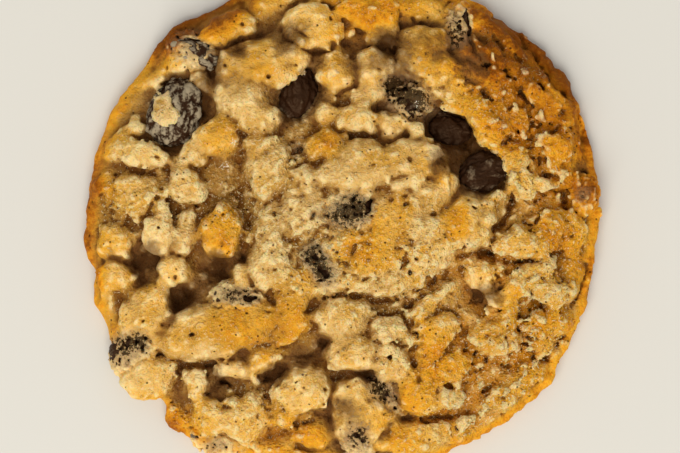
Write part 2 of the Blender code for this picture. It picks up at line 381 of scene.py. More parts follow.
# %% The lumps
LUMPS = {
    "crown": (
        (-12.3, 9.2, 9.8, 7.0, 85, 0.3, 0.3),
        (-12.0, -6.0, 9.2, 6.8, 100, 0.5, 0.1),
        (-11.4, 0.2, 6.4, 6.2, 0, 0.2, 0.2),
        (-6.3, 1.0, 7.0, 6.4, 0, 0.1, 0.2),
        (-6.5, 7.2, 6.5, 5.6, 0, 0.0, 0.3),
        (-2.8, 12.8, 5.4, 5.0, 0, 0.9, 0.7),
        (2.5, 9.0, 11.5, 7.8, 0, 0.5, 0.35),
        (10.2, 10.8, 8.6, 5.6, -10, 0.5, 0.3),
        (14.6, 11.2, 3.2, 2.6, 0, 1.1, 0.1),
        (16.3, 8.4, 2.7, 5.2, 0, 0.5, 0.9),
        (10.6, 6.6, 5.5, 2.6, 25, 0.6, 0.2),
        (8.0, 0.4, 8.8, 7.4, 70, 0.4, 0.8),
        (13.4, -0.3, 7.8, 6.8, 80, 0.4, 0.15),
        (14.6, 4.6, 6.4, 5.0, 10, 0.3, 0.3),
        (18.6, 0.4, 6.6, 5.4, 80, 0.4, 0.8),
        (22.3, 1.2, 6.8, 5.8, 70, 0.4, 0.3),
        (21.3, -3.0, 5.6, 3.6, 10, 0.3, 0.15),
        (4.0, -4.6, 9.6, 6.8, 0, 0.4, 0.8),
        (6.2, -9.3, 11.6, 6.2, 0, 0.3, 0.25),
        (11.9, -7.2, 6.8, 4.0, 80, 0.5, 0.5),
        (15.6, -5.2, 6.4, 5.0, 30, 0.3, 0.15),
        (-6.8, -10.0, 7.6, 5.4, -20, 0.2, 0.55),
        (-0.6, -9.6, 8.0, 3.0, 18, 0.3, 0.2),
        (-0.6, -3.6, 5.0, 3.6, 0, 0.2, 0.4),
    ),
    "north": (
        (-17.2, 20.4, 7.6, 7.0, 0, 0.6, 0.1),
        (-13.6, 17.2, 8.4, 6.2, -50, 0.6, 0.25),
        (-20.0, 13.9, 6.6, 5.8, 0, 0.5, 0.6),
        (-15.0, 12.6, 2.8, 2.4, 0, 0.4, 0.4),
        (-12.4, 26.4, 14.0, 8.4, 8, 0.5, 0.4),
        (-13.4, 24.4, 6.0, 4.4, 20, 0.7, 0.6),
        (-8.0, 27.6, 5.4, 4.4, -20, 0.5, 0.3),
        (-24.2, 11.8, 6.6, 3.4, 55, 0.5, 0.25),
        (-18.8, 31.7, 8.6, 4.6, 22, 0.5, 0.55),
        (-5.2, 32.0, 9.2, 7.8, 10, 0.5, 0.35),
        (-1.0, 24.6, 5.8, 7.6, 0, 0.3, 0.45),
        (5.2, 25.2, 6.8, 5.6, 0, 0.6, 0.25),
        (7.2, 31.0, 4.4, 3.4, 0, 0.4, 0.15),
        (12.4, 28.6, 8.4, 7.2, 30, 0.6, 0.35),
        (4.2, 21.0, 5.6, 4.0, 10, 0.3, 0.2),
        (18.0, 21.4, 7.0, 4.4, -15, 0.4, 0.2),
        (16.7, 24.6, 7.0, 4.6, -5, 0.5, 0.4),
        (3.8, 34.6, 9.0, 5.4, 0, 0.5, 0.75),
        (2.0, 17.0, 5.2, 4.4, 0, 0.6, 0.25),
        (8.0, 16.2, 4.9, 3.9, 0, 0.6, 0.2),
        (12.4, 15.1, 2.9, 2.6, 0, 0.6, 0.35),
        (-2.4, 17.6, 3.4, 3.4, 0, 0.1, 0.5),
        (-27.0, 26.9, 8.0, 4.2, 28, 0.6, 0.35),
        (-23.0, 22.6, 4.0, 3.6, 0, 0.1, 0.35),
        (13.0, 35.0, 8.0, 5.0, -10, 0.2, 0.6),
        (20.6, 28.8, 4.6, 4.0, 0, 0.3, 0.55),
        (22.4, 32.8, 5.0, 4.0, -40, 0.2, 0.6),
        (-12.0, 36.6, 7.5, 4.0, 12, -0.1, 0.7),
        (-2.0, 38.6, 8.0, 4.6, 0, 0.0, 0.65),
        (8.0, 39.0, 7.0, 4.4, -8, 0.0, 0.6),
    ),
    "north-east": (
        (24.6, 16.4, 7.4, 6.4, -20, 0.5, 0.4),
        (24.0, 19.6, 5.4, 1.8, 25, 0.6, 0.1),
        (20.6, 19.6, 4.6, 4.4, 0, 0.4, 0.4),
        (24.6, 12.9, 3.8, 3.4, 0, 0.3, 0.4),
        (21.8, 23.6, 5.2, 4.2, -40, 0.4, 0.5),
        (26.0, 21.6, 5.6, 4.6, -50, 0.4, 0.5),
        (25.6, 27.0, 5.6, 4.8, -50, 0.4, 0.6),
        (30.2, 19.0, 5.0, 4.4, 0, 0.4, 0.55),
        (30.0, 24.0, 5.0, 4.0, -55, 0.3, 0.6),
        (33.8, 17.6, 4.8, 4.2, 80, 0.5, 0.95),
        (37.3, 17.0, 4.0, 3.0, 80, 0.0, 0.7),
        (30.0, 15.0, 4.2, 4.0, 0, 0.3, 0.5),
        (28.4, 11.2, 4.6, 4.4, 0, 0.4, 0.45),
        (35.6, 12.2, 5.8, 4.2, 10, 0.5, 0.5),
        (32.6, 13.6, 3.8, 1.7, 25, 0.7, 0.1),
        (29.0, 6.8, 4.6, 4.4, 0, 0.4, 0.4),
        (34.0, 7.4, 5.6, 3.4, 5, 0.5, 0.4),
        (39.4, 11.8, 3.6, 5.0, 0, -0.2, 0.6),
        (25.4, 31.0, 9.0, 2.6, -54, 0.5, 0.7),
        (29.6, 24.2, 8.0, 2.4, -60, 0.5, 0.75),
        (33.4, 20.4, 6.0, 2.2, -40, 0.5, 0.8),
        (36.4, 14.6, 6.4, 2.2, -82, 0.4, 0.6),
        (36.6, 8.4, 6.0, 2.0, -86, 0.3, 0.6),
    ),
    "west": (
        (-36.6, 12.7, 5.4, 5.0, 0, 0.4, 0.35),
        (-32.3, 11.0, 6.9, 3.9, 0, 0.5, 0.3),
        (-33.4, 4.4, 8.6, 6.2, -10, 0.3, 0.4),
        (-38.6, 6.0, 4.4, 5.6, 0, 0.0, 0.5),
        (-25.3, 6.1, 6.0, 5.6, 0, 0.5, 0.2),
        (-29.7, -1.4, 6.6, 5.2, 80, 0.7, 0.05),
        (-25.4, -1.4, 7.0, 3.8, 85, 0.3, 0.12),
        (-19.5, -1.4, 8.0, 5.9, 80, 0.6, 0.85),
        (-37.4, -3.0, 6.0, 5.4, 90, 0.2, 0.4),
        (-37.0, -8.7, 6.4, 4.6, 0, 0.5, 0.55),
        (-27.4, -7.4, 4.8, 4.6, 0, 0.5, 0.4),
        (-32.0, -14.6, 9.2, 7.8, 75, 0.5, 0.45),
        (-38.2, -13.0, 5.4, 2.8, 80, 0.1, 0.3),
        (-16.4, -8.4, 2.8, 3.0, 0, 0.0, 0.2),
        (-30.6, 23.4, 4.0, 3.6, 0, 0.1, 0.4),
        (-34.0, 15.6, 3.2, 2.6, 0, 0.2, 0.4),
    ),
    "south-west": (
        (-19.6, -17.4, 16.4, 8.4, 6, 0.5, 0.6),
        (-9.0, -14.8, 9.6, 6.0, 80, 0.4, 0.8),
        (-27.0, -20.2, 7.4, 4.8, -8, 0.5, 0.35),
        (-31.6, -25.2, 9.4, 5.6, 20, 0.6, 0.35),
        (-24.0, -26.2, 5.4, 3.4, 90, 0.4, 0.25),
        (-22.0, -31.8, 6.6, 5.8, 90, 0.5, 0.45),
        (-15.7, -32.2, 8.2, 6.6, 90, 0.6, 0.4),
        (-12.5, -22.3, 5.4, 5.0, 0, 0.2, 0.35),
        (-18.0, -23.6, 4.8, 3.0, 0, 0.3, 0.3),
        (-27.3, -32.2, 5.0, 4.0, 60, -0.2, 0.7),
        (-37.0, -17.6, 3.6, 2.6, 60, 0.2, 0.5),
    ),
    "south": (
        (0.0, -15.1, 7.8, 8.0, 0, 0.7, 0.25),
        (1.9, -21.2, 7.4, 6.0, 0, 0.6, 0.3),
        (7.2, -17.0, 5.6, 4.4, 0, 0.5, 0.15),
        (7.8, -22.8, 7.4, 5.2, 85, 0.5, 0.15),
        (-6.3, -26.8, 8.6, 7.4, 0, 0.7, 0.3),
        (-9.6, -31.6, 4.4, 3.6, 0, 0.2, 0.6),
        (3.0, -30.8, 11.2, 8.8, 95, 0.7, 0.35),
        (12.2, -27.8, 7.4, 6.4, 90, 0.4, 0.65),
        (18.0, -28.3, 5.4, 4.8, 0, 0.4, 0.3),
        (14.0, -21.3, 8.0, 4.0, 85, 0.1, 0.95),
        (18.4, -23.8, 6.4, 5.2, 80, 0.4, 0.7),
        (10.8, -18.6, 3.4, 2.8, 0, 0.3, 0.2),
        (14.2, -12.8, 7.0, 2.8, 35, 0.4, 0.5),
        (15.6, -16.6, 7.0, 4.6, 10, 0.4, 0.65),
        (-4.2, -34.4, 5.6, 4.4, 0, 0.3, 0.55),
        (10.2, -34.8, 8.8, 5.6, 15, 0.4, 0.6),
        (18.6, -33.8, 8.0, 4.6, 10, 0.3, 0.6),
        (-13.0, -37.4, 7.0, 3.6, -12, -0.1, 0.7),
        (-4.0, -39.2, 7.4, 4.0, 0, 0.0, 0.65),
        (5.0, -39.6, 7.0, 3.8, 4, 0.0, 0.6),
    ),
    "east": (
        (22.6, -8.6, 4.2, 5.2, 0, 0.4, 0.45),
        (28.8, -3.3, 8.4, 4.4, -5, 0.5, 0.25),
        (34.4, -1.2, 6.0, 5.8, 90, 0.3, 0.75),
        (38.4, -2.0, 7.0, 3.6, 85, 0.0, 0.5),
        (31.6, -7.4, 7.0, 2.4, 14, 0.5, 0.1),
        (29.2, -9.2, 4.8, 2.0, -65, 0.6, 0.05),
        (34.0, -11.3, 7.2, 4.4, -12, 0.6, 0.1),
        (27.6, -12.6, 5.6, 3.8, 85, 0.3, 0.5),
        (24.2, -13.6, 3.0, 3.6, 0, 0.0, 0.4),
        (33.2, -15.6, 7.0, 3.0, 5, 0.4, 0.7),
        (32.6, -18.6, 7.4, 3.8, 20, 0.3, 0.55),
        (28.6, -17.0, 4.0, 3.6, 0, 0.2, 0.6),
        (24.6, -19.0, 6.4, 6.2, 0, 0.6, 0.5),
        (38.2, -8.6, 7.2, 3.0, 80, 0.0, 0.5),
        (30.6, -24.8, 7.6, 5.2, 50, 0.1, 0.6),
        (25.6, -29.6, 7.6, 5.0, 35, 0.1, 0.5),
        (36.4, -15.8, 4.4, 2.6, 65, -0.1, 0.6),
    ),
}

# %% [markdown]
# Two broad pads come first and lift the crown. Then come the lumps, and last the folds: where
# syrup boiled up near the rim, the crust wrinkled as it browned, and each wrinkle is one more
# lump, long, narrow and with a sharp foot. Laying a lump melts it into the field. The cells
# whose skin it made keep its number, so that its own gold can be given to them later.

# %% How lumps and folds are laid
LUMP_SWELL = 1.14  # lumps crowd each other, so each is drawn a little larger than it shows
LUMP_RAISE = 0.2  # how much further than its rise a lump stands out, in millimetres
DOME = 0.17  # how far a lump's top falls towards its edge, as a share of its width
SEAM = 1.2 * MM  # the fillet between a lump and what it lies on
EDGE_HEIGHT, DOME_START = 2.8 * MM, 6.0 * MM  # between these the dome starts to be drawn down
CLEFT_DEPTH = 1.2 * MM  # how far the bare dome lies under the lumps' feet
CROWN_PADS = ((6.0, 2.0, 39.0, 24.0, 8), (-9.0, -4.0, 12.0, 13.0, 0))  # without a rise
PAD_RISE, PAD_THICK = -1.6, 2.6 * MM

RIDGES = (
    # x, y, length, width, turn and rise of the folds
    (21.2, 30.4, 6.0, 1.7, -62, 0.6),
    (25.8, 31.2, 9.0, 1.9, -50, 0.8),
    (30.6, 26.4, 8.0, 1.9, -56, 0.8),
    (34.8, 21.2, 7.0, 1.8, -50, 0.8),
    (37.6, 15.8, 6.0, 1.5, -76, 0.7),
    (38.2, 9.4, 7.0, 1.4, -88, 0.7),
    (26.4, 23.8, 9.0, 1.7, -58, 0.7),
    (30.2, 16.6, 8.0, 1.6, -70, 0.7),
    (33.0, 10.8, 7.0, 1.5, -64, 0.6),
    (33.4, 17.4, 6.0, 1.6, -30, 0.6),
    (23.6, 27.4, 5.4, 1.6, -40, 0.6),
    (36.4, -12.4, 7.0, 1.5, 70, 0.6),
    (33.4, -20.4, 7.0, 1.6, 46, 0.6),
    (28.8, -25.4, 7.0, 1.7, 44, 0.6),
    (23.0, -30.4, 7.0, 1.6, 36, 0.6),
    (14.0, -33.0, 8.0, 1.5, 6, 0.6),
    (19.4, -24.6, 6.0, 1.6, 60, 0.5),
    (27.0, -16.0, 6.0, 1.4, 40, 0.5),
)
RIDGE_GOLD, RIDGE_THICK, RIDGE_SEAM = 0.6, 0.45, 0.3 * MM
LEAST_THICK, THICK_SHARE = 0.5 * MM, 0.13  # half of a thin lump's thickness, and more for its width
LEAN_REACH, LEAN_MORE = 0.8, 0.8 * MM  # how much of a lump, and how far past it, its foot is felt for
LIFTED = 0.35  # how much of its dome's fall a lump is lifted by, as its edge lies lower than its top
CELLS_SHARE, CELLS_MORE = 1.25, 2 * MM  # how much of a lump, and how far past it, its cells go
OWN_SKIN = 0.3 * MM  # the skin is a lump's own where the lump is this close to it
BENDS = ((3.0, 0.7), (1.3, 0.3))  # how wide the map's bends are and how far they push, in millimetres

# %% Lay the lumps
draws = np.random.default_rng(7)
map_points = np.stack([*np.meshgrid(cell_x, cell_y, indexing="ij")], axis=-1).reshape(-1, 2)
map_points = np.concatenate([map_points, np.zeros((len(map_points), 1))], axis=1)
bends = [
    sum(push * MM * noise(map_points, size * MM, 61 + axis) for size, push in BENDS).reshape(cell_counts[:2])
    for axis in range(2)
]
drawn_down = CLEFT_DEPTH * smooth_step(cell_z, EDGE_HEIGHT, DOME_START)
field = solid + drawn_down.astype(np.float32)
owner = np.full(field.shape, -1, np.int16)
golds = []


def lay(x, y, length, width, turn, rise, half_thick=None, seam=SEAM):
    """Joins one lump to the field, and returns its cells and its own distances."""
    x, y = dough_middle.x + x * MM, dough_middle.y + y * MM
    half_length, half_width, dome = length * MM / 2, width * MM / 2, DOME * width * MM
    half_thick = half_thick or LEAST_THICK + THICK_SHARE * width * MM
    height, normal = settle(x, y, LEAN_REACH * half_width + LEAN_MORE)
    centre = Vector((x, y, height)) + normal * (rise * MM - half_thick + LIFTED * dome)
    cut, offsets = box_of_cells(centre, half_length * CELLS_SHARE + CELLS_MORE)
    for axis in range(2):
        offsets[axis] += bends[axis][cut[:2]][:, :, None]
    phases = draws.uniform(0, 2 * math.pi, len(WAVES))
    axes = leaning_axes(normal, turn)
    lump = disc_distance(offsets, axes, half_length, half_width, half_thick, dome, phases)
    field[cut] = soft_min(field[cut], lump, seam)
    return cut, lump


def lay_own(gold, *lump, **shape):
    """Lays a lump, and notes whose skin it is there, so that it takes its own gold."""
    cut, distances = lay(*lump, **shape)
    owner[cut][distances < field[cut] + OWN_SKIN] = len(golds)
    golds.append(gold)


for pad in CROWN_PADS:
    lay(*pad, PAD_RISE, half_thick=PAD_THICK / 2)

for region, lumps in LUMPS.items():
    for x, y, length, width, turn, rise, gold in lumps:
        lay_own(gold, x, y, length * LUMP_SWELL, width * LUMP_SWELL, turn, rise + LUMP_RAISE)
    print(region, len(lumps), "lumps")

for x, y, length, width, turn, rise in RIDGES:
    thick = RIDGE_THICK * width * MM
    lay_own(RIDGE_GOLD, x, y, length, width, turn, rise, half_thick=thick, seam=RIDGE_SEAM)
print(len(RIDGES), "folds")

# %% [markdown]
# Between the lumps lies rubble: broken flakes and crumbs of dough, two or three millimetres
# across. Nobody would place these by hand, so they are sown at random, from a fixed seed. More
# of them stay where the dough is all crumbs. Elsewhere syrup boiled up and left the crust folded
# and amber. Both kinds of place are listed here, and the grain and the colours use them again.

# %% Rubble between the lumps
GRANULAR = (
    # x, y, radius and amount of the crumbly places
    (5.0, -9.0, 8.0, 0.35),
    (15.0, -8.0, 6.0, 0.25),
    (-5.0, -4.0, 7.0, 0.45),
    (-8.0, 10.0, 6.0, 0.4),
    (30.0, -4.0, 8.0, 0.2),
    (31.0, -12.0, 9.0, 0.2),
    (26.0, -21.0, 9.0, 0.15),
    (31.0, -27.0, 9.0, 0.15),
    (20.0, -33.0, 9.0, 0.15),
    (8.0, -22.0, 6.0, 0.3),
    (8.0, -37.0, 7.0, 0.15),
    (33.0, 10.0, 8.0, 0.15),
    (21.0, 19.0, 7.0, 0.3),
    (27.5, 9.0, 5.0, 0.35),
    (-38.0, 2.0, 7.0, 0.35),
    (-22.0, -28.0, 7.0, 0.25),
    (-11.0, -27.0, 6.0, 0.35),
    (-29.0, -35.0, 7.0, 0.4),
    (-27.0, 4.0, 5.0, 0.25),
    (-16.0, 2.0, 5.0, 0.4),
)
SYRUPY = (
    # x, y, radius and amount of where the syrup boiled up and the clefts went amber
    (29.0, -16.0, 13.0, 0.8),
    (20.0, -30.0, 11.0, 0.7),
    (31.0, 20.0, 11.0, 1.0),
    (37.0, 4.0, 8.0, 0.9),
    (12.0, -3.0, 9.0, 0.4),
    (2.0, 36.0, 10.0, 0.6),
    (-12.0, -37.0, 9.0, 0.5),
    (-26.0, -34.0, 7.0, 0.5),
)
RUBBLE_TRIES = 1300
RUBBLE_REACH = 0.89  # of the dough's radius
RUBBLE_LENGTH, RUBBLE_WIDTH, RUBBLE_RISE = (1.3, 3.4), (0.6, 0.95), (-0.2, 0.3)  # width: of the length
RUBBLE_THICK, RUBBLE_SEAM = 0.32, 0.3 * MM
STAYS, STAYS_ON_CRUMBS = 0.25, 1.7  # how likely a piece stays, and what the crumbly places add


def anywhere(reach):
    """A random place on the dough, out to a share of its radius, in millimetres from its middle."""
    bearing, share = draws.uniform(0, 2 * math.pi), reach * math.sqrt(draws.uniform())
    x = share * math.cos(bearing) * dough_size.x / 2 / MM
    return x, share * math.sin(bearing) * dough_size.y / 2 / MM


ground, laid = top_heights(field), 0
for attempt in range(RUBBLE_TRIES):
    x, y = anywhere(RUBBLE_REACH)
    length = draws.uniform(*RUBBLE_LENGTH)
    width, turn = length * draws.uniform(*RUBBLE_WIDTH), draws.uniform(0, 180)
    place = np.array([[dough_middle.x + x * MM, dough_middle.y + y * MM, 0]])
    if draws.uniform() < STAYS + STAYS_ON_CRUMBS * patches(place, GRANULAR)[0]:
        rise, thick = draws.uniform(*RUBBLE_RISE), RUBBLE_THICK * width * MM
        lay(x, y, length, width, turn, rise, half_thick=thick, seam=RUBBLE_SEAM)
        laid += 1
print("rubble", laid)

# %% [markdown]
# ## Clefts and pits
#
# Where lumps don't quite meet, the dough splits into narrow, dark clefts. The long ones are
# drawn as paths over the skin: a groove with slanting walls sinks into it along each path and
# follows its height. Noise bends the paths and widens them here and there, so that they don't
# look cut with a tool. A pit is a short path.

# %% The clefts
CLEFTS = (
    # width, depth, then the points of its path
    (1.8, 2.4, (-5.3, -14.0), (-3.5, -12.6), (-2.0, -11.7), (0.0, -11.4), (2.5, -11.8)),
    (1.4, 0.7, (3.0, -12.0), (5.0, -12.6), (9.5, -12.8), (11.5, -12.9)),
    (1.6, 1.0, (11.5, -12.9), (13.0, -10.8), (17.0, -7.6), (18.2, -5.5), (20.0, -4.8)),
    (2.6, 2.8, (20.0, -4.8), (22.0, -4.9), (24.2, -4.3)),
    (1.6, 2.4, (24.3, -4.3), (24.6, -2.5), (24.7, -1.3), (25.8, 0.3), (27.3, 2.0), (27.7, 5.0)),
    (4.4, 1.5, (-15.8, 11.5), (-16.8, 8.0), (-16.3, 3.0), (-15.4, 0.0), (-15.8, -4.0)),
    (3.4, 2.4, (-13.0, -25.0), (-9.0, -23.6), (-6.0, -22.0), (-3.4, -21.0), (-2.6, -18.8)),
    (1.4, 1.8, (-19.5, -25.8), (-17.0, -26.3)),
    (1.5, 1.3, (-1.0, -25.3), (0.6, -24.5), (3.0, -24.4), (5.2, -25.2)),
    (1.0, 1.6, (-0.8, -25.5), (-2.0, -28.0), (-2.0, -31.5)),
    (0.8, 1.2, (-24.5, -23.5), (-22.5, -23.0), (-20.3, -22.9)),
    (0.8, 1.2, (-30.0, -20.6), (-28.5, -22.0), (-25.3, -22.4)),
    (0.9, 1.2, (-17.5, -21.8), (-19.7, -22.2)),
    (3.4, 1.7, (-33.8, -4.6), (-32.6, -10.0)),
    (3.8, 2.3, (-23.0, -7.0), (-18.6, -8.7)),
    (3.6, 1.6, (-26.5, -30.5), (-26.8, -26.5), (-26.0, -23.0)),
    (0.6, 0.9, (5.0, -19.0), (6.5, -19.6), (8.0, -19.2)),
    (2.0, 2.1, (-23.5, -34.0), (-21.0, -35.8), (-18.0, -37.3)),
    (1.5, 1.4, (7.5, -29.8), (10.0, -30.8), (14.0, -31.4), (17.5, -31.6), (20.0, -30.6)),
    (1.5, 1.1, (20.0, -30.6), (22.0, -28.8), (24.0, -26.6), (25.5, -25.0), (27.0, -23.6)),
    (1.5, 1.4, (27.0, -23.6), (30.0, -22.0), (32.4, -22.3), (34.0, -20.8), (36.0, -18.6)),
    (0.9, 1.2, (20.5, -19.5), (22.0, -21.0)),
    (1.4, 1.9, (20.4, 30.0), (21.8, 27.7), (23.6, 25.9), (26.4, 25.0), (28.2, 25.9)),
    (1.4, 1.9, (29.1, 21.7), (30.5, 18.5), (30.9, 16.2), (30.5, 12.1), (31.9, 9.4), (33.7, 7.5), (35.5, 7.1)),
    (1.1, 1.6, (31.2, 19.2), (31.5, 16.8), (32.8, 15.6), (35.4, 16.0), (37.6, 15.4)),
    (1.2, 1.8, (38.3, 13.9), (38.3, 9.4), (36.9, 5.7), (36.4, 2.0)),
    (1.1, 1.6, (24.6, 30.6), (26.2, 28.2), (29.0, 26.6)),
    (1.1, 1.6, (26.8, -6.2), (29.0, -6.3), (32.5, -5.8)),
    (0.7, 0.9, (35.8, -2.0), (36.3, -3.5), (35.3, -5.0)),
    (1.2, 1.6, (40.0, -6.5), (39.6, -9.0), (37.6, -12.5), (37.0, -14.5)),
    (0.6, 0.9, (10.3, -4.8), (10.4, -6.0), (10.0, -7.3)),
    (0.5, 0.7, (11.4, -5.0), (12.0, -5.8)),
    (0.6, 0.8, (2.5, -3.0), (1.7, -4.5)),
    (0.5, 0.7, (2.3, -2.7), (4.5, -3.3)),
    (0.5, 0.7, (2.8, -8.7), (4.0, -9.0)),
    (0.8, 1.4, (-10.0, 32.0), (-9.5, 30.3), (-8.0, 29.2), (-5.0, 27.7), (-2.0, 28.0), (-1.3, 29.0)),
    (0.4, 0.6, (-7.5, 31.5), (-5.5, 30.0)),
    (3.2, 1.7, (-17.0, 28.5), (-13.0, 30.0), (-10.5, 31.0)),
    (0.8, 1.4, (8.5, 28.5), (8.6, 24.0)),
    (0.9, 1.4, (10.3, 24.7), (12.7, 23.5)),
    (0.6, 0.9, (-1.0, 20.8), (2.5, 22.5)),
    (0.9, 1.3, (-27.5, 3.7), (-30.0, 4.3), (-32.0, 1.0), (-32.3, 0.0)),
    (0.5, 0.6, (-37.5, -1.5), (-35.5, -0.5)),
    (1.1, 1.4, (37.0, 9.0), (36.6, 5.5), (36.0, 2.5)),
    (0.9, 1.4, (17.5, 36.0), (19.2, 33.8), (20.0, 31.0)),
    (0.7, 0.9, (-4.5, -32.0), (-6.0, -32.5)),
    (1.5, 2.4, (24.8, 33.8), (28.7, 31.8), (30.8, 27.9), (33.9, 23.2), (37.0, 20.4)),
    (1.3, 2.2, (38.6, 17.9), (39.4, 14.9), (39.7, 12.1), (39.8, 9.3), (39.5, 7.4)),
    (4.4, 2.0, (-30.6, 25.6), (-27.4, 30.2), (-22.0, 33.8), (-15.6, 36.0)),
    (5.0, 2.6, (15.4, 16.4), (19.0, 14.6), (20.8, 11.6), (22.0, 8.6), (23.6, 6.8)),
    (2.2, 2.0, (10.4, 20.2), (13.8, 17.8), (16.0, 16.4)),
)
PITS = (
    # x, y, length, width, turn, depth
    (-16.0, -5.5, 2.6, 2.0, 100, 2.2),
    (-20.0, -7.6, 5.0, 3.8, -20, 2.4),
    (-33.5, -7.0, 4.4, 3.0, 80, 2.0),
    (-25.6, -12.0, 4.6, 3.4, 55, 2.6),
    (-9.0, -23.0, 3.6, 2.6, 20, 1.8),
    (-27.0, -13.0, 3.6, 2.8, 60, 1.9),
    (-18.8, -8.6, 2.3, 1.9, 90, 2.6),
    (-29.0, -16.5, 1.3, 1.1, 0, 2.0),
    (-11.7, -12.5, 2.4, 1.3, -10, 2.2),
    (-18.8, -29.6, 1.2, 0.9, 0, 1.4),
    (-21.8, -27.8, 1.3, 1.0, 0, 1.5),
    (-16.2, 29.6, 1.4, 1.1, 0, 1.8),
    (12.3, -23.7, 1.1, 0.9, 0, 1.4),
    (-37.0, 8.0, 0.9, 0.7, 0, 1.0),
    (-28.0, 4.3, 1.3, 1.0, 0, 1.4),
    (11.0, -13.3, 2.6, 1.1, 0, 1.6),
    (10.3, -19.7, 1.5, 1.1, 0, 1.6),
    (25.3, -7.0, 0.9, 0.7, 0, 1.0),
    (29.0, -6.7, 1.1, 0.9, 0, 1.2),
    (21.6, -11.6, 4.6, 3.4, 100, 1.9),
    (32.5, 4.7, 1.4, 1.1, 0, 1.4),
    (31.5, 3.8, 1.1, 0.9, 0, 1.2),
    (36.6, 10.6, 1.0, 0.8, 0, 1.2),
    (-40.7, -8.3, 1.4, 1.0, 0, 1.2),
    (-11.0, -17.5, 5.4, 3.6, 60, 1.0),
    (13.5, -21.0, 5.0, 4.0, 80, 1.0),
    (-11.5, -35.0, 4.2, 3.0, 0, 0.9),
    (6.0, 24.9, 0.8, 0.7, 0, 1.1),
    (7.9, 3.8, 1.2, 0.8, 20, 0.9),
    (10.2, 3.1, 1.2, 1.1, 0, 0.9),
)


# %% Carve them
BEND, BEND_SIZE = 0.6 * MM, 1.8 * MM  # how far noise pushes a path aside, and how often
BEND_SHARE = 0.4  # and it pushes a narrow one no further than this much of its width
WIDENING, WIDENING_SIZE = 0.4, 2.6 * MM  # how much it widens a groove, and how often
FLARE = 0.5  # how far the walls slant, more in a wide and shallow groove
LEAST_SOFT, MORE_SOFT = 0.25, 0.2  # a groove's rounded edge, in millimetres, and more for its width
CLEFT_SHARE = 0.8  # the lumps leave part of each cleft open by themselves
CARVE_ROOM = 0.3 * MM  # how far past a groove and its bends its cells go
SHORTEST = 0.02  # a round pit's path in millimetres, as a point has no direction


def carve(path, width, depth):
    """Cuts a groove along a path over the skin. It follows the skin's height as it goes."""
    path = np.array(path) * MM + (dough_middle.x, dough_middle.y)
    reach = width * MM + BEND + CARVE_ROOM
    low, high = path.min(axis=0) - reach, path.max(axis=0) + reach
    columns, rows = window(cell_x, low[0], high[0]), window(cell_y, low[1], high[1])
    spots = np.stack(np.meshgrid(cell_x[columns], cell_y[rows], indexing="ij"), axis=-1)
    flat = np.concatenate([spots.reshape(-1, 2), np.zeros((spots.size // 2, 1))], axis=1)
    bend = min(BEND, BEND_SHARE * width * MM)
    for axis in range(2):
        spots[..., axis] += bend * noise(flat, BEND_SIZE, 21 + axis).reshape(spots.shape[:2])
    away = np.full(spots.shape[:2], np.inf)
    for start, stop in zip(path, path[1:]):
        along = stop - start
        share = np.clip(((spots - start) @ along) / (along @ along), 0, 1)
        away = np.minimum(away, np.linalg.norm(spots - start - share[..., None] * along, axis=-1))
    half, flare = width * MM / 2, FLARE * width / depth
    away /= 1 + WIDENING * noise(flat, WIDENING_SIZE, 23).reshape(away.shape)
    below = ground[columns, rows][:, :, None] - cell_z
    groove = (away[:, :, None] + below * flare - half) / math.hypot(1, flare)
    soft = (LEAST_SOFT + MORE_SOFT * width) * MM
    field[columns, rows] = soft_max(field[columns, rows], -groove.astype(np.float32), soft)


def carve_pit(x, y, length, width, turn, depth):
    half = max(length - width, SHORTEST) / 2
    ahead = np.array([math.cos(math.radians(turn)), math.sin(math.radians(turn))]) * half
    carve(((x, y) - ahead, (x, y) + ahead), width, depth)


ground = top_heights(field)
for width, depth, *path in CLEFTS:
    carve(path, width, CLEFT_SHARE * depth)
for pit in PITS:
    carve_pit(*pit)
print(len(CLEFTS), "clefts,", len(PITS), "pits")

# %% [markdown]
# Steam and fat left pores as well, from pinholes to holes a millimetre wide. They are sown too.
# The finest ones, below what the mesh can hold, come later with the material.

# %% Pores
PORE_COUNT = 120
PORE_REACH = 0.93  # of the dough's radius
NARROWEST, WIDER = 0.45, 0.35  # most pores are nearly the narrowest
PORE_LENGTH, PORE_DEPTH = (1.0, 1.7), (0.7, 1.3)  # length: of the width

for number in range(PORE_COUNT):
    x, y = anywhere(PORE_REACH)
    width = NARROWEST + WIDER * draws.uniform() ** 3
    length, turn = width * draws.uniform(*PORE_LENGTH), draws.uniform(0, 180)
    carve_pit(x, y, length, width, turn, draws.uniform(*PORE_DEPTH))
print("pores", PORE_COUNT)

# %% [markdown]
# The thin rim baked hard and smooth, so the rough middle has to know how far the rim is. The
# outline is kept as one radius for each degree round the cookie.

# %% How far in from the rim
OUTLINE_HEIGHT = 0.5 * MM  # the outline runs where the skin is this high

outline_cells = np.argwhere(top_heights(field) > OUTLINE_HEIGHT)
outline_x = cell_x[outline_cells[:, 0]] - dough_middle.x
outline_y = cell_y[outline_cells[:, 1]] - dough_middle.y
outline_bearing = np.round(np.degrees(np.arctan2(outline_y, outline_x))).astype(int) % 360
outline = np.zeros(360)
np.maximum.at(outline, outline_bearing, np.hypot(outline_x, outline_y))


def in_from_rim(points):
    x, y = points[:, 0] - dough_middle.x, points[:, 1] - dough_middle.y
    bearing = np.degrees(np.arctan2(y, x))
    radius = np.interp(bearing, np.arange(-180, 181), outline[np.arange(-180, 181) % 360])
    return bearing, radius - np.hypot(x, y)


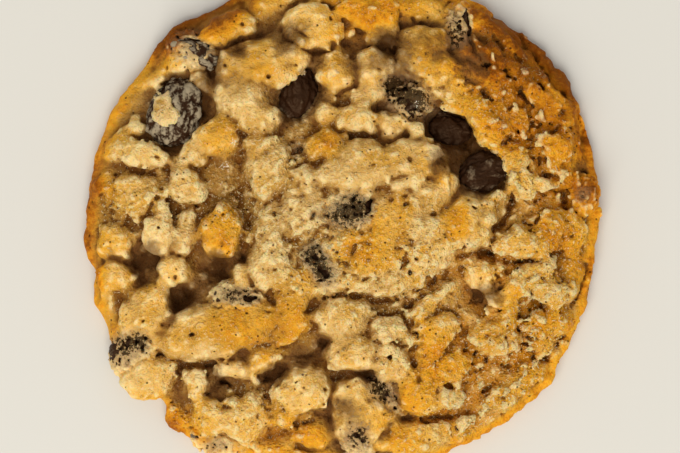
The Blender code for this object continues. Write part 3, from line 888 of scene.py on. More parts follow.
# %% [markdown]
# Then the grain: soft swells, bumps, crumbs and meal, each from noise of its own size, torn flakes,
# and small ragged holes where the peaks of another noise stand. Flakes of oat and big lumps stay
# fairly smooth, and the grain is strongest where the dough is all crumbs. Where it is syrupy the
# skin shrank into folds instead. All this is only worked out in the cells next to the skin.

# %% Grain
SMOOTHEST = 0.42  # the roughness of a smooth lump, where that of crumbs is 1
RIM_ROUGH, RIM_FROM, RIM_TO = 0.75, 0.2 * MM, 2.6 * MM  # of the roughness, between these from the rim
GRAIN_BAND = 1.1 * MM
GRAIN_FROM, GRAIN_OVER = 0.6 * MM, 2.0 * MM  # the underside stays flat: height it starts at, and over which
GRAIN = (
    # size and height in millimetres, seed, and whether it follows the roughness
    (3.4, 0.42, 1, False),  # swells
    (1.9, 0.36, 2, True),  # bumps
    (1.0, 0.28, 3, True),  # crumbs
    (0.6, 0.26, 4, True),  # meal
)
FLAKE_TURN = math.radians(32)  # the way the crumbly dough tore into flakes
FLAKE_SIZE, FLAKE_LEVEL, FLAKE_HEIGHT, FLAKE_STRETCH = 1.5, 0.28, 0.9, 0.55  # sizes in millimetres
FOLDS = (
    # size, level where a groove turns into a ridge, and height, all in the same way, and seed
    (3.6, 0.36, 2.2, 8),
    (1.5, 0.3, 0.9, 9),
)
HOLE_SIZES = 1.0 * MM, 0.5 * MM
HOLE_START, HOLE_WALL, HOLE_ROUGH = 1.17, 0.25, 0.75  # noise where holes open, and what roughness adds
HOLE_DEPTH = 0.8  # in millimetres


def points_of(indices):
    return np.stack([axis[indices[:, i]] for i, axis in enumerate((cell_x, cell_y, cell_z))], axis=1)


def holes_at(points, rough):
    """How deep each point lies in a small ragged hole, from 0 to 1."""
    wide, narrow = HOLE_SIZES
    depth = noise(points, wide, 5) + 0.5 * noise(points, narrow, 6) + HOLE_ROUGH * rough
    return np.clip((depth - HOLE_START) / HOLE_WALL, 0, 1)


def roughness_at(points):
    """How rough the dough is, from 0 to 1: more where it is crumbly, less on the rim."""
    on_top = smooth_step(in_from_rim(points)[1], RIM_FROM, RIM_TO)
    return np.clip(SMOOTHEST + patches(points, GRANULAR), 0, 1) * (RIM_ROUGH + (1 - RIM_ROUGH) * on_top)


near = np.abs(field) < GRAIN_BAND
points = points_of(np.argwhere(near))
upward = np.clip((points[:, 2] - GRAIN_FROM) / GRAIN_OVER, 0.0, 1.0)
rough = roughness_at(points)
lift = sum(
    noise(points, size * MM, seed) * height * MM * (rough if follows else 1)
    for size, height, seed, follows in GRAIN
)
along = np.array([math.cos(FLAKE_TURN), math.sin(FLAKE_TURN), 0])
stretched = points - FLAKE_STRETCH * np.outer(points @ along, along)
lift += (np.abs(noise(stretched, FLAKE_SIZE * MM, 7)) - FLAKE_LEVEL) * FLAKE_HEIGHT * MM * rough * rough
folds = sum(
    (np.abs(noise(points, size * MM, seed)) - level) * height * MM
    for size, level, height, seed in FOLDS
)
lift += folds * np.clip(patches(points, SYRUPY), 0, 1)
lift -= holes_at(points, rough) * HOLE_DEPTH * MM
field[near] -= (upward * lift).astype(np.float32)
print("grain in", len(points), "cells")

# %% [markdown]
# ## Sockets for the raisins
#
# The dough holds each raisin in a socket. Some raisins are bare, and some are under a film of
# dough that tore as it baked, so that only dark specks of fruit show. A raisin that is bare has
# the dough drawn back from it. A covered one gets the film: the raisin's own form, swollen by
# the film's thickness, where noise takes it below nothing here and there. Then the raisin's
# form is cut out of the dough, a little under size so that no gap shows.

# %% Cut the sockets
RAISINS = {
    # the film of dough on it, or how bare it is below nought, and how deep it sank, in
    # millimetres; its bloom with painted sheen, from 0 for bare brown skin to 1 for grey; and how
    # dark it stained the dough round it
    "raisin_01": (-0.3, 0.0, 0.85, 0.8),
    "raisin_02": (0.25, 0.0, 0.8, 0.4),
    "raisin_03": (-0.5, 0.6, 0.25, 0.9),
    "raisin_04": (0.5, 0.3, 0.25, 0.3),
    "raisin_05": (-0.7, 1.3, 0.15, 1.3),
    "raisin_06": (-0.4, 1.0, 0.25, 1.0),
    "raisin_07": (0.6, 0.5, 0.1, 0.0),
    "raisin_08": (0.6, 0.5, 0.1, 0.0),
    "raisin_09": (0.6, 0.4, 0.2, 0.0),
    "raisin_10": (0.35, 0.2, 0.3, 0.3),
    "raisin_11": (0.35, 0.2, 0.25, 0.4),
    "raisin_12": (0.35, 0.2, 0.2, 0.4),
    "raisin_13": (0.35, 0.3, 0.6, 0.2),
    "raisin_14": (0.5, 0.3, 0.2, 0.1),
    "raisin_15": (0.45, 0.2, 0.4, 0.2),
}
DRAWN_BACK = 1.2 * MM  # how far round a raisin the dough is drawn back
BACK_SHARE = 0.6  # how deep that goes, for how bare the raisin is and how torn the dough
TORN, TEAR_SIZE = 0.65 * MM, 0.8 * MM
FILM_SEAM = 0.4 * MM
OVERLAP = 0.15 * MM  # how much smaller than its raisin a socket is
STAIN_REACH = 2.6 * MM
SOCKET_ROOM = 2.9 * MM  # how far round a raisin its cells go

raisin_forms = {}
raisin_near = np.full(field.shape, BAND * CELL, np.float32)
raisin_stain = np.zeros(field.shape, np.float32)
for name in raisin_names:
    film = RAISINS[name][0] * MM
    low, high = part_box(name)
    sides = zip((cell_x, cell_y, cell_z), low, high)
    cut = tuple(window(axis, start - SOCKET_ROOM, stop + SOCKET_ROOM) for axis, start, stop in sides)
    form = distances_to(*node_triangles([name]))[cut]
    raisin_forms[name] = (cut, form)
    raisin_near[cut] = np.minimum(raisin_near[cut], form)
    stained = RAISINS[name][3] * np.clip(1 - form / STAIN_REACH, 0, 1)
    raisin_stain[cut] = np.maximum(raisin_stain[cut], stained)
    close = form < DRAWN_BACK
    indices = np.argwhere(close)
    torn = np.zeros(form.shape, np.float32)
    torn[close] = TORN * noise(points_of(indices + [c.start for c in cut]), TEAR_SIZE, 11)
    back = max(-film, 0) * BACK_SHARE + np.abs(torn) * BACK_SHARE
    field[cut] += smooth_step(1 - np.maximum(form, 0) / DRAWN_BACK, 0, 1) * back
    field[cut] = soft_min(field[cut], form - film - torn, FILM_SEAM)
    field[cut] = np.maximum(field[cut], -(form + OVERLAP))
print("sockets", len(raisin_forms))

# %% [markdown]
# Steam left through some of the films too. Each of these openings is a short path like the
# clefts, carved once the films are there, so that it opens onto the fruit or beside it. Round
# them the film is riddled with small pits, and the fruit shows through it as dark specks.

# %% Openings over the fruit
OPENINGS = (
    # width, depth, then the points of its path
    (1.1, 2.0, (4.2, 2.2), (4.7, 3.8)),
    (0.8, 1.2, (-4.5, 1.2), (-4.3, 1.6)),
    (0.8, 1.6, (-3.6, -7.6), (-2.4, -8.4)),
    (0.8, 1.8, (-25.0, 29.9), (-23.2, 29.7), (-22.2, 28.6), (-22.4, 27.4)),
    (0.6, 1.1, (-29.6, 22.7), (-28.2, 23.1), (-26.4, 22.8)),
    (1.2, 1.8, (-24.2, 22.2), (-23.0, 21.2)),
    (0.8, 1.3, (-15.2, -12.4), (-14.0, -12.0)),
    (1.0, 1.1, (19.9, 34.6), (20.7, 32.2), (20.6, 30.4)),
    (0.9, 1.2, (10.8, 18.6), (12.0, 19.6)),
)
FRUITED = (
    # x, y, radius and amount of the places where fruit shows through the dough in specks
    (2.2, 2.2, 3.5, 1.3),
    (-1.4, 1.2, 2.2, 0.6),
    (-4.4, 1.6, 1.6, 0.6),
    (-5.2, -4.9, 2.3, 0.95),
    (-2.8, -8.6, 2.5, 1.0),
    (-3.6, -6.6, 2.4, 0.45),
    (-7.0, 12.3, 2.0, 0.85),
    (-3.0, -2.6, 5.0, 0.2),
    (9.8, 20.8, 4.0, 1.05),
    (12.8, 19.2, 2.8, 0.8),
    (7.4, 22.8, 2.0, 0.5),
    (18.8, 30.0, 2.6, 0.9),
    (18.2, 33.4, 2.6, 0.7),
    (-17.4, -11.6, 2.2, 0.95),
    (-14.4, -12.0, 2.0, 0.8),
    (-20.6, -12.4, 2.2, 0.5),
    (-36.0, -20.4, 3.9, 1.0),
    (-32.6, -18.8, 2.4, 0.7),
    (2.6, -34.4, 3.1, 1.05),
    (6.6, -27.6, 3.2, 1.0),
    (4.6, -25.8, 1.8, 0.5),
    (-20.8, -36.0, 2.6, 0.75),
    (-25.6, 28.0, 3.6, 0.6),
    (-22.4, 28.4, 2.0, 0.6),
    (39.2, 4.8, 1.7, 0.75),
    (23.4, -11.6, 2.2, 0.3),
)
PIT_DEPTH, PIT_SIZES = 1.0 * MM, (0.85 * MM, 0.5 * MM)
PIT_START, PIT_WALL, PIT_FRUIT = 1.0, 0.3, 0.8  # noise where pits open, and what the fruit adds
LEAST_FRUIT = 0.15  # no pits where the fruit shows less than this

ground = top_heights(field)
for width, depth, *path in OPENINGS:
    carve(path, width, depth)
near = np.abs(field) < PIT_DEPTH
points = points_of(np.argwhere(near))
fruited, (wide, narrow) = patches(points, FRUITED), PIT_SIZES
pitted = noise(points, wide, 12) + 0.5 * noise(points, narrow, 13) + PIT_FRUIT * fruited
pitted = np.clip((pitted - PIT_START) / PIT_WALL, 0, 1) * (fruited > LEAST_FRUIT)
field[near] += PIT_DEPTH * pitted.astype(np.float32)
print(len(OPENINGS), "openings, and pits over", len(FRUITED), "places")

# %% [markdown]
# Scraps of dough lie on raisins: a broken flake on the largest one, and rags that half hide the
# small ones. They settle on the fruit as the lumps did on the dough, with random edges of their
# own, so that one more piece of rubble would not reshape them.

# %% Scraps on the raisins
SCRAPS = (
    # x, y, length, width, turn and rise
    (-28.8, 18.5, 5.8, 5.0, 100, 0.7),
    (13.0, 19.4, 4.4, 2.4, -40, 0.4),
    (-9.6, 24.8, 5.4, 3.6, -35, 0.2),
    (21.4, 17.6, 4.2, 2.4, -50, 0.3),
    (14.0, 13.4, 2.8, 1.8, 20, 0.3),
    (18.2, 6.4, 3.4, 2.4, -50, 0.4),
    (26.8, 10.4, 4.6, 2.4, -70, 0.5),
    (24.8, 4.6, 3.6, 1.8, 15, 0.2),
    (18.0, 18.6, 4.2, 2.2, -20, 0.5),
    (22.6, 13.6, 3.8, 2.0, -40, 0.5),
)
SCRAP_THICK, SCRAP_SEAM = 1.4 * MM, 0.2 * MM

ground = top_heights(np.minimum(field, raisin_near))
draws = np.random.default_rng(11)
scraps = np.full(field.shape, BAND * CELL, np.float32)
for scrap in SCRAPS:
    cut, flake = lay(*scrap, half_thick=SCRAP_THICK / 2, seam=SCRAP_SEAM)
    scraps[cut] = np.minimum(scraps[cut], flake)
print("scraps", len(SCRAPS))

# %% [markdown]
# ## From cells to a mesh
#
# OpenVDB walks along the skin and lays a face in every cell it crosses, about half a million of
# them. Most are spent on places that are nearly flat, so Decimate takes them out again. Carving
# leaves a few loose specks and closed bubbles as well, and only the one big part is kept.


# %% Skin to mesh
def mesh_from(name, points, triangles, quads):
    """A mesh object from arrays of corners and faces."""
    mesh = bpy.data.meshes.new(name)
    mesh.vertices.add(len(points))
    mesh.vertices.foreach_set("co", points.astype(np.float32).ravel())
    corners = np.concatenate([triangles.ravel(), quads.ravel()]).astype(np.int32)
    mesh.loops.add(len(corners))
    mesh.loops.foreach_set("vertex_index", corners)
    starts = np.concatenate([np.arange(len(triangles)) * 3, len(triangles) * 3 + np.arange(len(quads)) * 4])
    mesh.polygons.add(len(starts))
    mesh.polygons.foreach_set("loop_start", starts.astype(np.int32))
    mesh.update()
    mesh.validate()
    mesh.shade_smooth()
    piece = bpy.data.objects.new(name, mesh)
    bpy.context.scene.collection.objects.link(piece)
    return piece


def made_plain(piece):
    """Takes what the modifiers make as the piece's own mesh, and removes them."""
    depsgraph = bpy.context.evaluated_depsgraph_get()
    mesh = bpy.data.meshes.new_from_object(piece.evaluated_get(depsgraph))
    piece.modifiers.clear()
    piece.data = mesh
    return mesh


def largest_part(points, *faces):
    """The biggest connected piece of a skin, without loose crumbs and closed bubbles."""
    part, before = np.arange(len(points)), None
    while before is None or (part != before).any():
        before, part = part, part.copy()
        for corners in faces:
            for corner in range(corners.shape[1]):
                np.minimum.at(part, corners[:, corner], before[corners].min(axis=1))
        part = part[part]
    kept = part == np.bincount(part).argmax()
    number = np.cumsum(kept) - 1
    return points[kept], *(number[corners[kept[corners[:, 0]]]] for corners in faces)


CRUST_TRIANGLES = 192000
crust = mesh_from("crust", *largest_part(*skin_of(field)))
faces = len(crust.data.polygons) * 2
thin = crust.modifiers.new("Decimate", "DECIMATE")
thin.ratio = CRUST_TRIANGLES / faces
made_plain(crust)
crust.data.calc_loop_triangles()
print("crust", faces, "triangles, then", len(crust.data.loop_triangles))

# %% [markdown]
# ## What the oven did, and where shade is painted, point by point
#
# Colour follows form on a cookie. What stands proud dries out and stays floury or turns gold,
# syrup and fat gather in the clefts and go taupe, the thin rim caramelises, and the fruit bleeds
# into the dough round it. On top of that, shade is painted into the colour of the clefts and
# creases, and a highlight onto the edges that stand proud. The cells know all of this already,
# so each point of the crust gets a few numbers from them, which the finish reads as attributes.
# What no rule foretells, such as where the oven was hottest, is listed as soft round places.

# %% Places that browned, took stain and painted shade, and glint with gloss and painted glints
TOASTED = (
    # x, y, radius and amount of the places that browned most, or least where it is below nought
    (-2.8, 12.8, 3.0, 0.75),
    (3.6, -5.0, 4.0, 0.45),
    (-4.0, 6.0, 9.0, -0.2),
    (5.5, 12.0, 5.0, 0.2),
    (8.0, 1.0, 3.5, 0.15),
    (10.0, -8.0, 6.0, -0.1),
    (20.0, 27.0, 4.6, 0.45),
    (22.0, 20.0, 5.0, 0.4),
    (26.0, 16.0, 4.0, 0.3),
    (18.5, -0.5, 3.0, 0.4),
    (12.0, 9.5, 2.6, 0.2),
    (-18.5, -16.5, 4.6, 0.45),
    (-36.0, -27.0, 3.6, -0.4),
    (17.0, 28.5, 4.0, 0.4),
    (6.0, 6.0, 9.0, -0.2),
    (-22.0, -21.0, 3.4, -0.6),
    (-26.0, -15.0, 2.6, -0.5),
    (-22.5, -11.5, 2.8, -0.5),
    (-14.0, -18.5, 4.5, 0.3),
    (-9.8, -17.0, 4.0, 0.4),
    (-19.5, -1.5, 3.4, 0.35),
    (3.0, 33.5, 7.0, 0.5),
    (9.0, 37.0, 7.0, 0.4),
    (-13.6, 24.6, 2.6, 0.4),
    (-19.0, 32.5, 4.0, 0.4),
    (-20.0, 13.0, 3.6, 0.4),
    (13.4, 28.8, 2.6, 0.4),
    (29.5, 22.0, 7.0, 0.85),
    (34.0, 15.0, 6.0, 0.8),
    (26.5, 30.0, 6.0, 0.85),
    (30.0, 26.5, 4.0, 0.7),
    (22.5, 27.0, 3.6, 0.6),
    (34.5, 24.5, 4.0, 0.6),
    (28.0, 13.5, 3.0, 0.5),
    (27.2, 34.4, 2.8, 1.1),
    (31.2, 30.8, 2.6, 1.1),
    (34.4, 26.6, 2.6, 1.1),
    (37.6, 22.4, 2.4, 0.9),
    (40.4, 13.0, 2.2, 0.8),
    (39.4, 5.0, 2.8, 0.9),
    (36.5, 12.0, 4.5, 0.5),
    (38.0, 6.0, 4.0, 0.75),
    (39.0, 3.4, 2.4, 0.5),
    (35.0, -3.0, 4.5, 0.6),
    (38.5, -8.0, 4.0, 0.6),
    (29.0, -14.0, 6.0, 0.3),
    (30.0, -4.0, 9.0, 0.3),
    (-40.5, -3.0, 3.0, 0.3),
    (-40.5, 6.0, 3.0, 0.4),
    (24.0, 24.0, 5.0, 0.5),
    (20.0, 30.0, 4.0, 0.5),
    (24.5, 14.5, 4.0, 0.4),
    (33.0, -15.0, 3.6, 0.4),
    (13.5, -21.0, 4.2, 0.35),
    (17.0, -25.0, 4.0, 0.35),
    (22.0, -22.0, 4.0, 0.35),
    (10.5, -28.0, 4.0, 0.45),
    (31.5, -21.5, 3.6, 0.35),
    (30.0, -26.5, 4.0, 0.3),
    (9.0, -36.0, 6.0, 0.35),
    (-7.0, -36.5, 7.0, 0.6),
    (-26.0, -31.5, 4.5, 0.6),
    (-38.5, -3.0, 4.0, 0.3),
    (-39.0, 4.0, 4.0, 0.4),
    (-30.2, 28.6, 2.8, 1.3),
    (-26.8, 32.0, 3.0, 1.5),
    (-22.4, 35.2, 2.6, 1.3),
)
STAIN_AND_SHADE = (
    # x, y, radius and amount of the low places that are darker: part syrup and fruit stain, part painted
    # shade
    (-33.4, -6.6, 2.4, 0.45),
    (-32.4, -9.8, 1.8, 0.4),
    (-20.0, -7.6, 2.6, 0.65),
    (-22.8, -9.4, 2.2, 0.5),
    (-24.5, -12.5, 2.4, 0.3),
    (-21.6, -10.8, 2.4, 0.35),
    (-25.6, -12.0, 2.4, 0.9),
    (-16.2, -6.0, 1.5, 0.7),
    (-11.0, -23.8, 2.6, 0.9),
    (-6.6, -22.0, 2.2, 0.9),
    (-3.2, -19.6, 1.7, 0.9),
    (-20.8, -27.0, 2.6, 0.6),
    (-26.4, -28.5, 2.0, 0.5),
    (-16.2, 3.0, 5.0, -0.3),
    (-9.2, 17.4, 1.4, 0.6),
    (-17.0, 28.2, 1.8, 0.9),
    (-13.5, 30.8, 1.6, 0.5),
    (-23.4, 19.0, 2.4, 0.9),
    (-27.4, 13.2, 1.6, 0.9),
    (-27.4, 23.2, 1.6, 0.6),
    (7.0, 29.4, 2.0, 0.8),
    (20.6, 30.4, 1.6, 0.7),
    (20.4, 33.4, 1.6, 0.6),
    (16.8, 16.0, 3.0, 1.1),
    (19.6, 12.8, 2.4, 1.0),
    (20.4, 9.8, 2.4, 1.0),
    (23.2, 7.8, 3.0, 0.6),
    (31.0, -16.0, 12.0, -0.5),
    (12.0, -6.0, 9.0, -0.25),
    (22.0, -30.0, 10.0, -0.4),
    (36.0, -2.0, 7.0, -0.3),
    (16.6, 8.6, 2.0, 0.45),
    (21.0, 26.0, 4.5, 0.35),
    (0.4, 26.0, 4.4, 0.75),
    (9.0, 29.0, 5.0, 0.7),
    (-6.0, 33.0, 5.0, 0.45),
    (-9.0, 29.0, 3.2, 0.9),
    (-21.8, 22.8, 2.6, 0.5),
    (6.0, 25.8, 2.6, 0.5),
    (17.0, 28.5, 4.0, 0.5),
    (-3.4, 19.6, 2.4, 0.5),
    (7.0, 17.8, 3.0, 0.5),
    (15.6, 10.6, 2.4, 0.6),
    (-6.0, 5.4, 2.4, 0.35),
    (15.2, -5.7, 2.6, 0.3),
    (-16.0, -23.4, 3.0, 0.5),
    (0.5, -29.6, 2.6, 0.5),
    (-9.0, -27.0, 3.0, 0.35),
    (-20.8, -4.8, 2.2, 0.7),
    (-30.7, -3.4, 2.2, 0.6),
    (-37.7, -2.8, 2.0, 0.5),
    (-28.0, -11.5, 2.2, 0.5),
    (-25.6, 30.0, 3.4, 0.6),
    (15.0, 31.0, 4.0, 0.4),
    (16.0, 10.0, 3.4, 0.5),
    (10.6, 21.4, 4.0, 0.4),
    (26.4, -12.6, 2.6, 0.5),
    (-35.6, -22.4, 3.0, 0.5),
    (-14.0, 25.0, 4.0, 0.25),
    (1.0, -34.0, 7.0, 0.55),
    (9.0, -29.0, 3.6, 0.5),
    (-20.4, 24.6, 4.6, 0.45),
    (-31.6, -5.6, 4.0, 0.3),
    (-37.6, -6.0, 3.0, 0.3),
    (9.6, 14.6, 3.0, 0.3),
    (21.4, 24.6, 4.0, 0.3),
    (18.6, 4.8, 2.6, 0.35),
    (10.0, 24.6, 2.4, 0.4),
    (-20.6, 26.2, 2.2, 0.5),
    (-30.6, -6.4, 2.6, 0.6),
    (-19.6, -5.8, 1.8, 0.5),
    (-27.6, -15.6, 2.2, 0.6),
    (-20.0, -24.6, 2.4, 0.6),
    (-9.8, 16.6, 1.8, 0.4),
    (24.4, 26.2, 2.8, 0.2),
    (22.2, -10.4, 2.4, 0.5),
    (24.0, -11.8, 3.2, 1.0),
    (3.4, -23.9, 2.0, 0.7),
    (39.4, 9.0, 1.8, 0.8),
    (33.6, 29.0, 2.0, 0.4),
)
WET_AND_GLINT = (
    # x, y, radius and amount of the places that are glossy with fat and sugar and get painted glints
    (-28.9, -10.6, 1.0, 0.9),
    (-22.3, -3.5, 0.8, 0.8),
    (-17.4, 13.2, 1.3, 1.0),
    (-19.0, 9.4, 1.6, 1.0),
    (-28.0, 4.3, 0.7, 0.8),
    (-5.6, 24.4, 1.3, 1.1),
    (-9.8, 22.6, 0.9, 1.0),
    (-12.2, 21.4, 1.0, 0.9),
    (12.2, 19.2, 1.3, 1.0),
    (8.4, 15.6, 0.6, 0.9),
    (14.8, 18.6, 0.6, 0.8),
    (-13.5, -25.4, 0.9, 0.9),
    (-2.6, -29.0, 0.9, 0.9),
    (-13.3, -31.0, 0.7, 0.8),
    (22.2, 10.9, 0.9, 1.1),
    (25.2, 8.4, 0.8, 0.9),
    (17.6, 7.6, 0.8, 0.7),
    (23.5, -2.7, 0.7, 0.8),
    (20.3, -10.7, 0.7, 0.8),
    (3.8, -36.2, 1.0, 0.8),
    (4.6, 21.2, 1.4, 0.6),
    (26.8, 17.6, 1.2, 0.7),
)
RIM = (
    # a bearing in degrees, how wide the rim browned there in millimetres, and how far
    (-180, 1.8, 1.1),
    (-160, 1.5, 0.8),
    (-146, 1.4, 0.1),
    (-125, 2.0, 0.6),
    (-100, 1.4, 0.5),
    (-60, 1.6, 0.8),
    (-25, 1.5, 0.7),
    (0, 1.6, 0.7),
    (30, 2.2, 0.9),
    (65, 2.6, 1.0),
    (95, 2.4, 0.8),
    (118, 3.8, 1.3),
    (130, 3.4, 1.3),
    (146, 2.2, 0.45),
    (158, 2.0, 1.0),
    (180, 1.8, 1.1),
)


# %% Read the cells at a point
def sampled(cells, points):
    """The value of a block of cells at each point, mixed from the eight cells round it."""
    place = points / CELL - low_cell
    whole = np.clip(np.floor(place).astype(int), 0, np.array(cells.shape) - 2)
    part = (place - whole).astype(np.float32)
    total = np.zeros(len(points), np.float32)
    for step in CORNERS:
        at = whole + step
        total += np.prod(np.where(step, part, 1 - part), axis=1) * cells[at[:, 0], at[:, 1], at[:, 2]]
    return total


def points_in(mesh):
    points = np.empty(len(mesh.vertices) * 3, np.float32)
    mesh.vertices.foreach_get("co", points)
    return points.reshape(-1, 3).astype(np.float64)


def set_attribute(mesh, name, values):
    layer = mesh.attributes.new(name, "FLOAT", "POINT")
    layer.data.foreach_set("value", np.ascontiguousarray(values, np.float32))


# %% Give the crust its attributes
FOLD_BLUR, VALLEY_BLUR, GOLD_BLUR, BED_BLUR = 0.6 * MM, 1.7 * MM, 0.4 * MM, 0.5 * MM
PLAIN_GOLD = 0.3  # where no lump made the skin
RAGGED, RAGGED_SIZE = 0.9 * MM, 2.2 * MM  # how far noise moves the rim's inner edge
RIM_FULL, RIM_GONE = 0.35, 1.5  # the rim's colour fades between these shares of its width
UNDER_FULL, UNDER_GONE = 0.2 * MM, 1.6 * MM  # and the underside's between these heights
SCRAP_SKIN, SCRAP_PAST = 0.1 * MM, 0.5 * MM  # scraps stay clean up to here, and stains are full there
FRUIT_GLOW, GLOW_REACH = 0.25, 1.2 * MM  # the fruit that shows through round every raisin
PLAIN_CRUMBLY, MORE_CRUMBLY, LOWEST_CRUMB = 0.3, 1.3, 1.5 * MM

points = points_in(crust.data)
inside = np.clip(0.5 - field / CELL, 0, 1)
# fold and valley say how deep a point lies among its neighbours. The finish paints shade into the colour
# where they are high, and a highlight on edges where fold is low.
fold = sampled(blurred(inside, FOLD_BLUR), points) * 2 - 1  # above nought in folds, below on edges
valley = sampled(blurred(inside, VALLEY_BLUR), points) * 2 - 1
gold_cells = np.array(golds + [PLAIN_GOLD], np.float32)[owner]
gold = sampled(blurred(gold_cells, GOLD_BLUR), points) + patches(points, TOASTED)
bed = sampled(blurred((owner < 0).astype(np.float32), BED_BLUR), points)  # the skin between lumps
bearing, inward = in_from_rim(points)
rim_bearing, rim_width, rim_amount = np.array(RIM).T
ragged = inward + RAGGED * noise(points, RAGGED_SIZE, 41)
width = np.interp(bearing, rim_bearing, rim_width) * MM
rim = 1 - smooth_step(ragged, RIM_FULL * width, RIM_GONE * width)
rim = rim * np.interp(bearing, rim_bearing, rim_amount)
under = 1 - smooth_step(points[:, 2], UNDER_FULL, UNDER_GONE)  # the underside browned like the rim
off_scraps = smooth_step(sampled(scraps, points), SCRAP_SKIN, SCRAP_PAST)
near_fruit = 1 - np.clip(sampled(raisin_near, points) / GLOW_REACH, 0, 1)
# the darker low places: part stain, part painted shade
stained = patches(points, STAIN_AND_SHADE)
crumbly = np.clip(PLAIN_CRUMBLY + MORE_CRUMBLY * patches(points, GRANULAR) - rim - stained, 0, 1)

CRUST_ATTRIBUTES = {
    "fold": fold,
    "valley": valley,
    "gold": gold,
    "bed": bed,
    "fruity": patches(points, FRUITED) + FRUIT_GLOW * near_fruit * off_scraps,
    "rim": np.maximum(rim, under),
    "crumbly": crumbly * (points[:, 2] > LOWEST_CRUMB),
    "stain": (stained + sampled(raisin_stain, points)) * off_scraps,
    "syrup": np.clip(patches(points, SYRUPY), 0, 1),
    "wet": patches(points, WET_AND_GLINT),
    "hole": holes_at(points, roughness_at(points)),
}
for name, values in CRUST_ATTRIBUTES.items():
    set_attribute(crust.data, name, values)
for name, values in (("fold", fold), ("valley", valley), ("gold", gold)):
    print(name, np.round(np.percentile(values, (5, 25, 50, 75, 95)), 2))

# %% [markdown]
# ## Baked dough
#
# An oat cookie's crust is dried dough: flour, oats and sugar, browned by heat. It scatters light
# from a rough, slightly oily surface, so it is a dielectric with a middling roughness that drops
# where fat and syrup came up. Its colour is laid in layers: one ramp runs from floury straw
# through gold to caramel, then come the brown of the clefts, part browning and part painted
# shade, the stain of the fruit, a painted highlight on proud edges and grains, painted glints,
# and specks and pinholes finer than the mesh, the pinholes dark with painted shade.
#
# The recipe is a few short lists. Signals are numbers between about 0 and 1: the crust's own
# attributes, clouds of noise at several grain sizes, and weighted sums of these. A layer then
# covers the colour so far wherever its signal passes from one value to another. The finest
# cloud is 0.3 mm, as coarse as it needs to be to show, where flour is finer still.

# %% The recipe of the baked dough
BROWNING = (
    # how far it has browned, and the colour then: flour, straw, gold, amber, caramel, burnt sugar
    (0.0, "#FACC7A"),
    (0.2, "#F4BA50"),
    (0.4, "#F4AE2A"),
    (0.6, "#E8991E"),
    (0.82, "#B86A0C"),
    (1.0, "#8A4A0C"),
)
CLOUDS = (("broad", 4.0, 3.0), ("middle", 1.1, 4.0), ("grit", 0.55, 3.0), ("fine", 0.3, 2.0))  # sizes in mm
SUMS = (
    # the signal's name, what it starts from, and what is added with which weight.
    # How far it browned, then dull spots and floury ones on that
    ("browned", -0.84, (("gold", 0.4), ("broad", 0.75), ("middle", 0.75), ("grit", 0.2), ("rim", 0.5))),
    ("mottle", 0.0, (("middle", 0.5), ("grit", 0.5))),
    ("flour", 0.05, (("middle", 0.5), ("grit", 0.5), ("rim", -0.16), ("gold", -0.13))),
    # edges that stand proud, paler where they dried and with a painted highlight; stain and painted
    # shade in the low places; and the clefts: plain, syrupy, and the sharp creases, browned and
    # darkened further as painted shade
    ("edge", 0.08, (("fold", -1.0), ("rim", -0.35), ("gold", -0.16))),
    ("dark", -0.3, (("stain", 0.8), ("valley", 0.6), ("middle", 0.4), ("grit", 0.2))),
    (
        "floor",
        -0.2,
        (("bed", 0.8), ("valley", 0.4), ("middle", 0.4), ("crumbly", -0.35), ("rim", -0.8), ("syrup", -0.5)),
    ),
    ("taupe", 0.0, (("valley", 1.0), ("syrup", -0.6))),
    ("amber", -0.75, (("valley", 0.9), ("syrup", 0.8), ("middle", 0.4))),
    ("crease", 0.0, (("fold", 1.0), ("syrup", -0.16))),
    # fruit through a thin film, and where the film is torn
    ("film", -0.5, (("fruity", 1.0), ("middle", 0.5), ("grit", 0.4))),
    ("speck", -1.4, (("fruity", 0.75), ("grit", 1.1), ("fine", 0.5), ("fold", 0.3))),
    # grains of sugar, loose grains of dough with a painted highlight on each, and spots of fat with
    # painted glints
    ("sugar", 0.0, (("grit", 0.5), ("fine", 0.5), ("rim", -0.15), ("gold", -0.03))),
    ("gritty", -0.55, (("crumbly", 0.8), ("broad", 1.2), ("rim", -0.8), ("stain", -0.5), ("fruity", -0.3))),
    ("sparkle", -0.55, (("grit", 0.9), ("fine", 1.1))),
    ("glint", -1.1, (("wet", 0.75), ("fine", 1.7), ("rim", -0.4))),
)
LAYERS = (
    # the colour, the signal that lays it, where it starts and where it is full, and its most
    ("#BE8024", "mottle", 0.46, 0.3, 0.4),
    ("#FDE0A0", "flour", 0.52, 0.66, 0.75),
    # painted shade on the low skin between the lumps, over some syrup-browned dough
    ("#A67A3A", "floor", 0.1, 0.75, 0.8),
    # painted shade, darker the lower the dough lies
    ("#A47430", "taupe", -0.4, 0.2, 0.7),
    # amber where syrup boiled up in the clefts, deeper the lower it lies, as painted shade
    ("#C87E16", "amber", -0.3, 0.3, 0.8),
    # deeper painted shade in the lowest places
    ("#765426", "taupe", 0.15, 0.55, 0.7),
    # painted shade in the creases and small pits
    ("#784410", "crease", 0.04, 0.34, 0.84),
    # painted highlight on the edges that stand proud, over dough that dried paler there
    ("#FFE2A2", "edge", 0.08, 0.34, 0.78),
    # stain and painted shade in the low places, in two steps
    ("#6E4826", "dark", 0.15, 0.6, 0.78),
    ("#462A14", "dark", 0.55, 0.95, 0.85),
    ("#94724E", "film", 0.2, 0.9, 0.7),
    ("#33220F", "speck", 0.02, 0.16, 0.9),
    # painted shade inside the small ragged holes
    ("#6A3C0C", "hole", 0.15, 0.9, 0.75),
    # painted glints where fat and sugar lie, and on the finest grains
    ("#FBF0DA", "glint", 0.48, 0.6, 0.75),
)
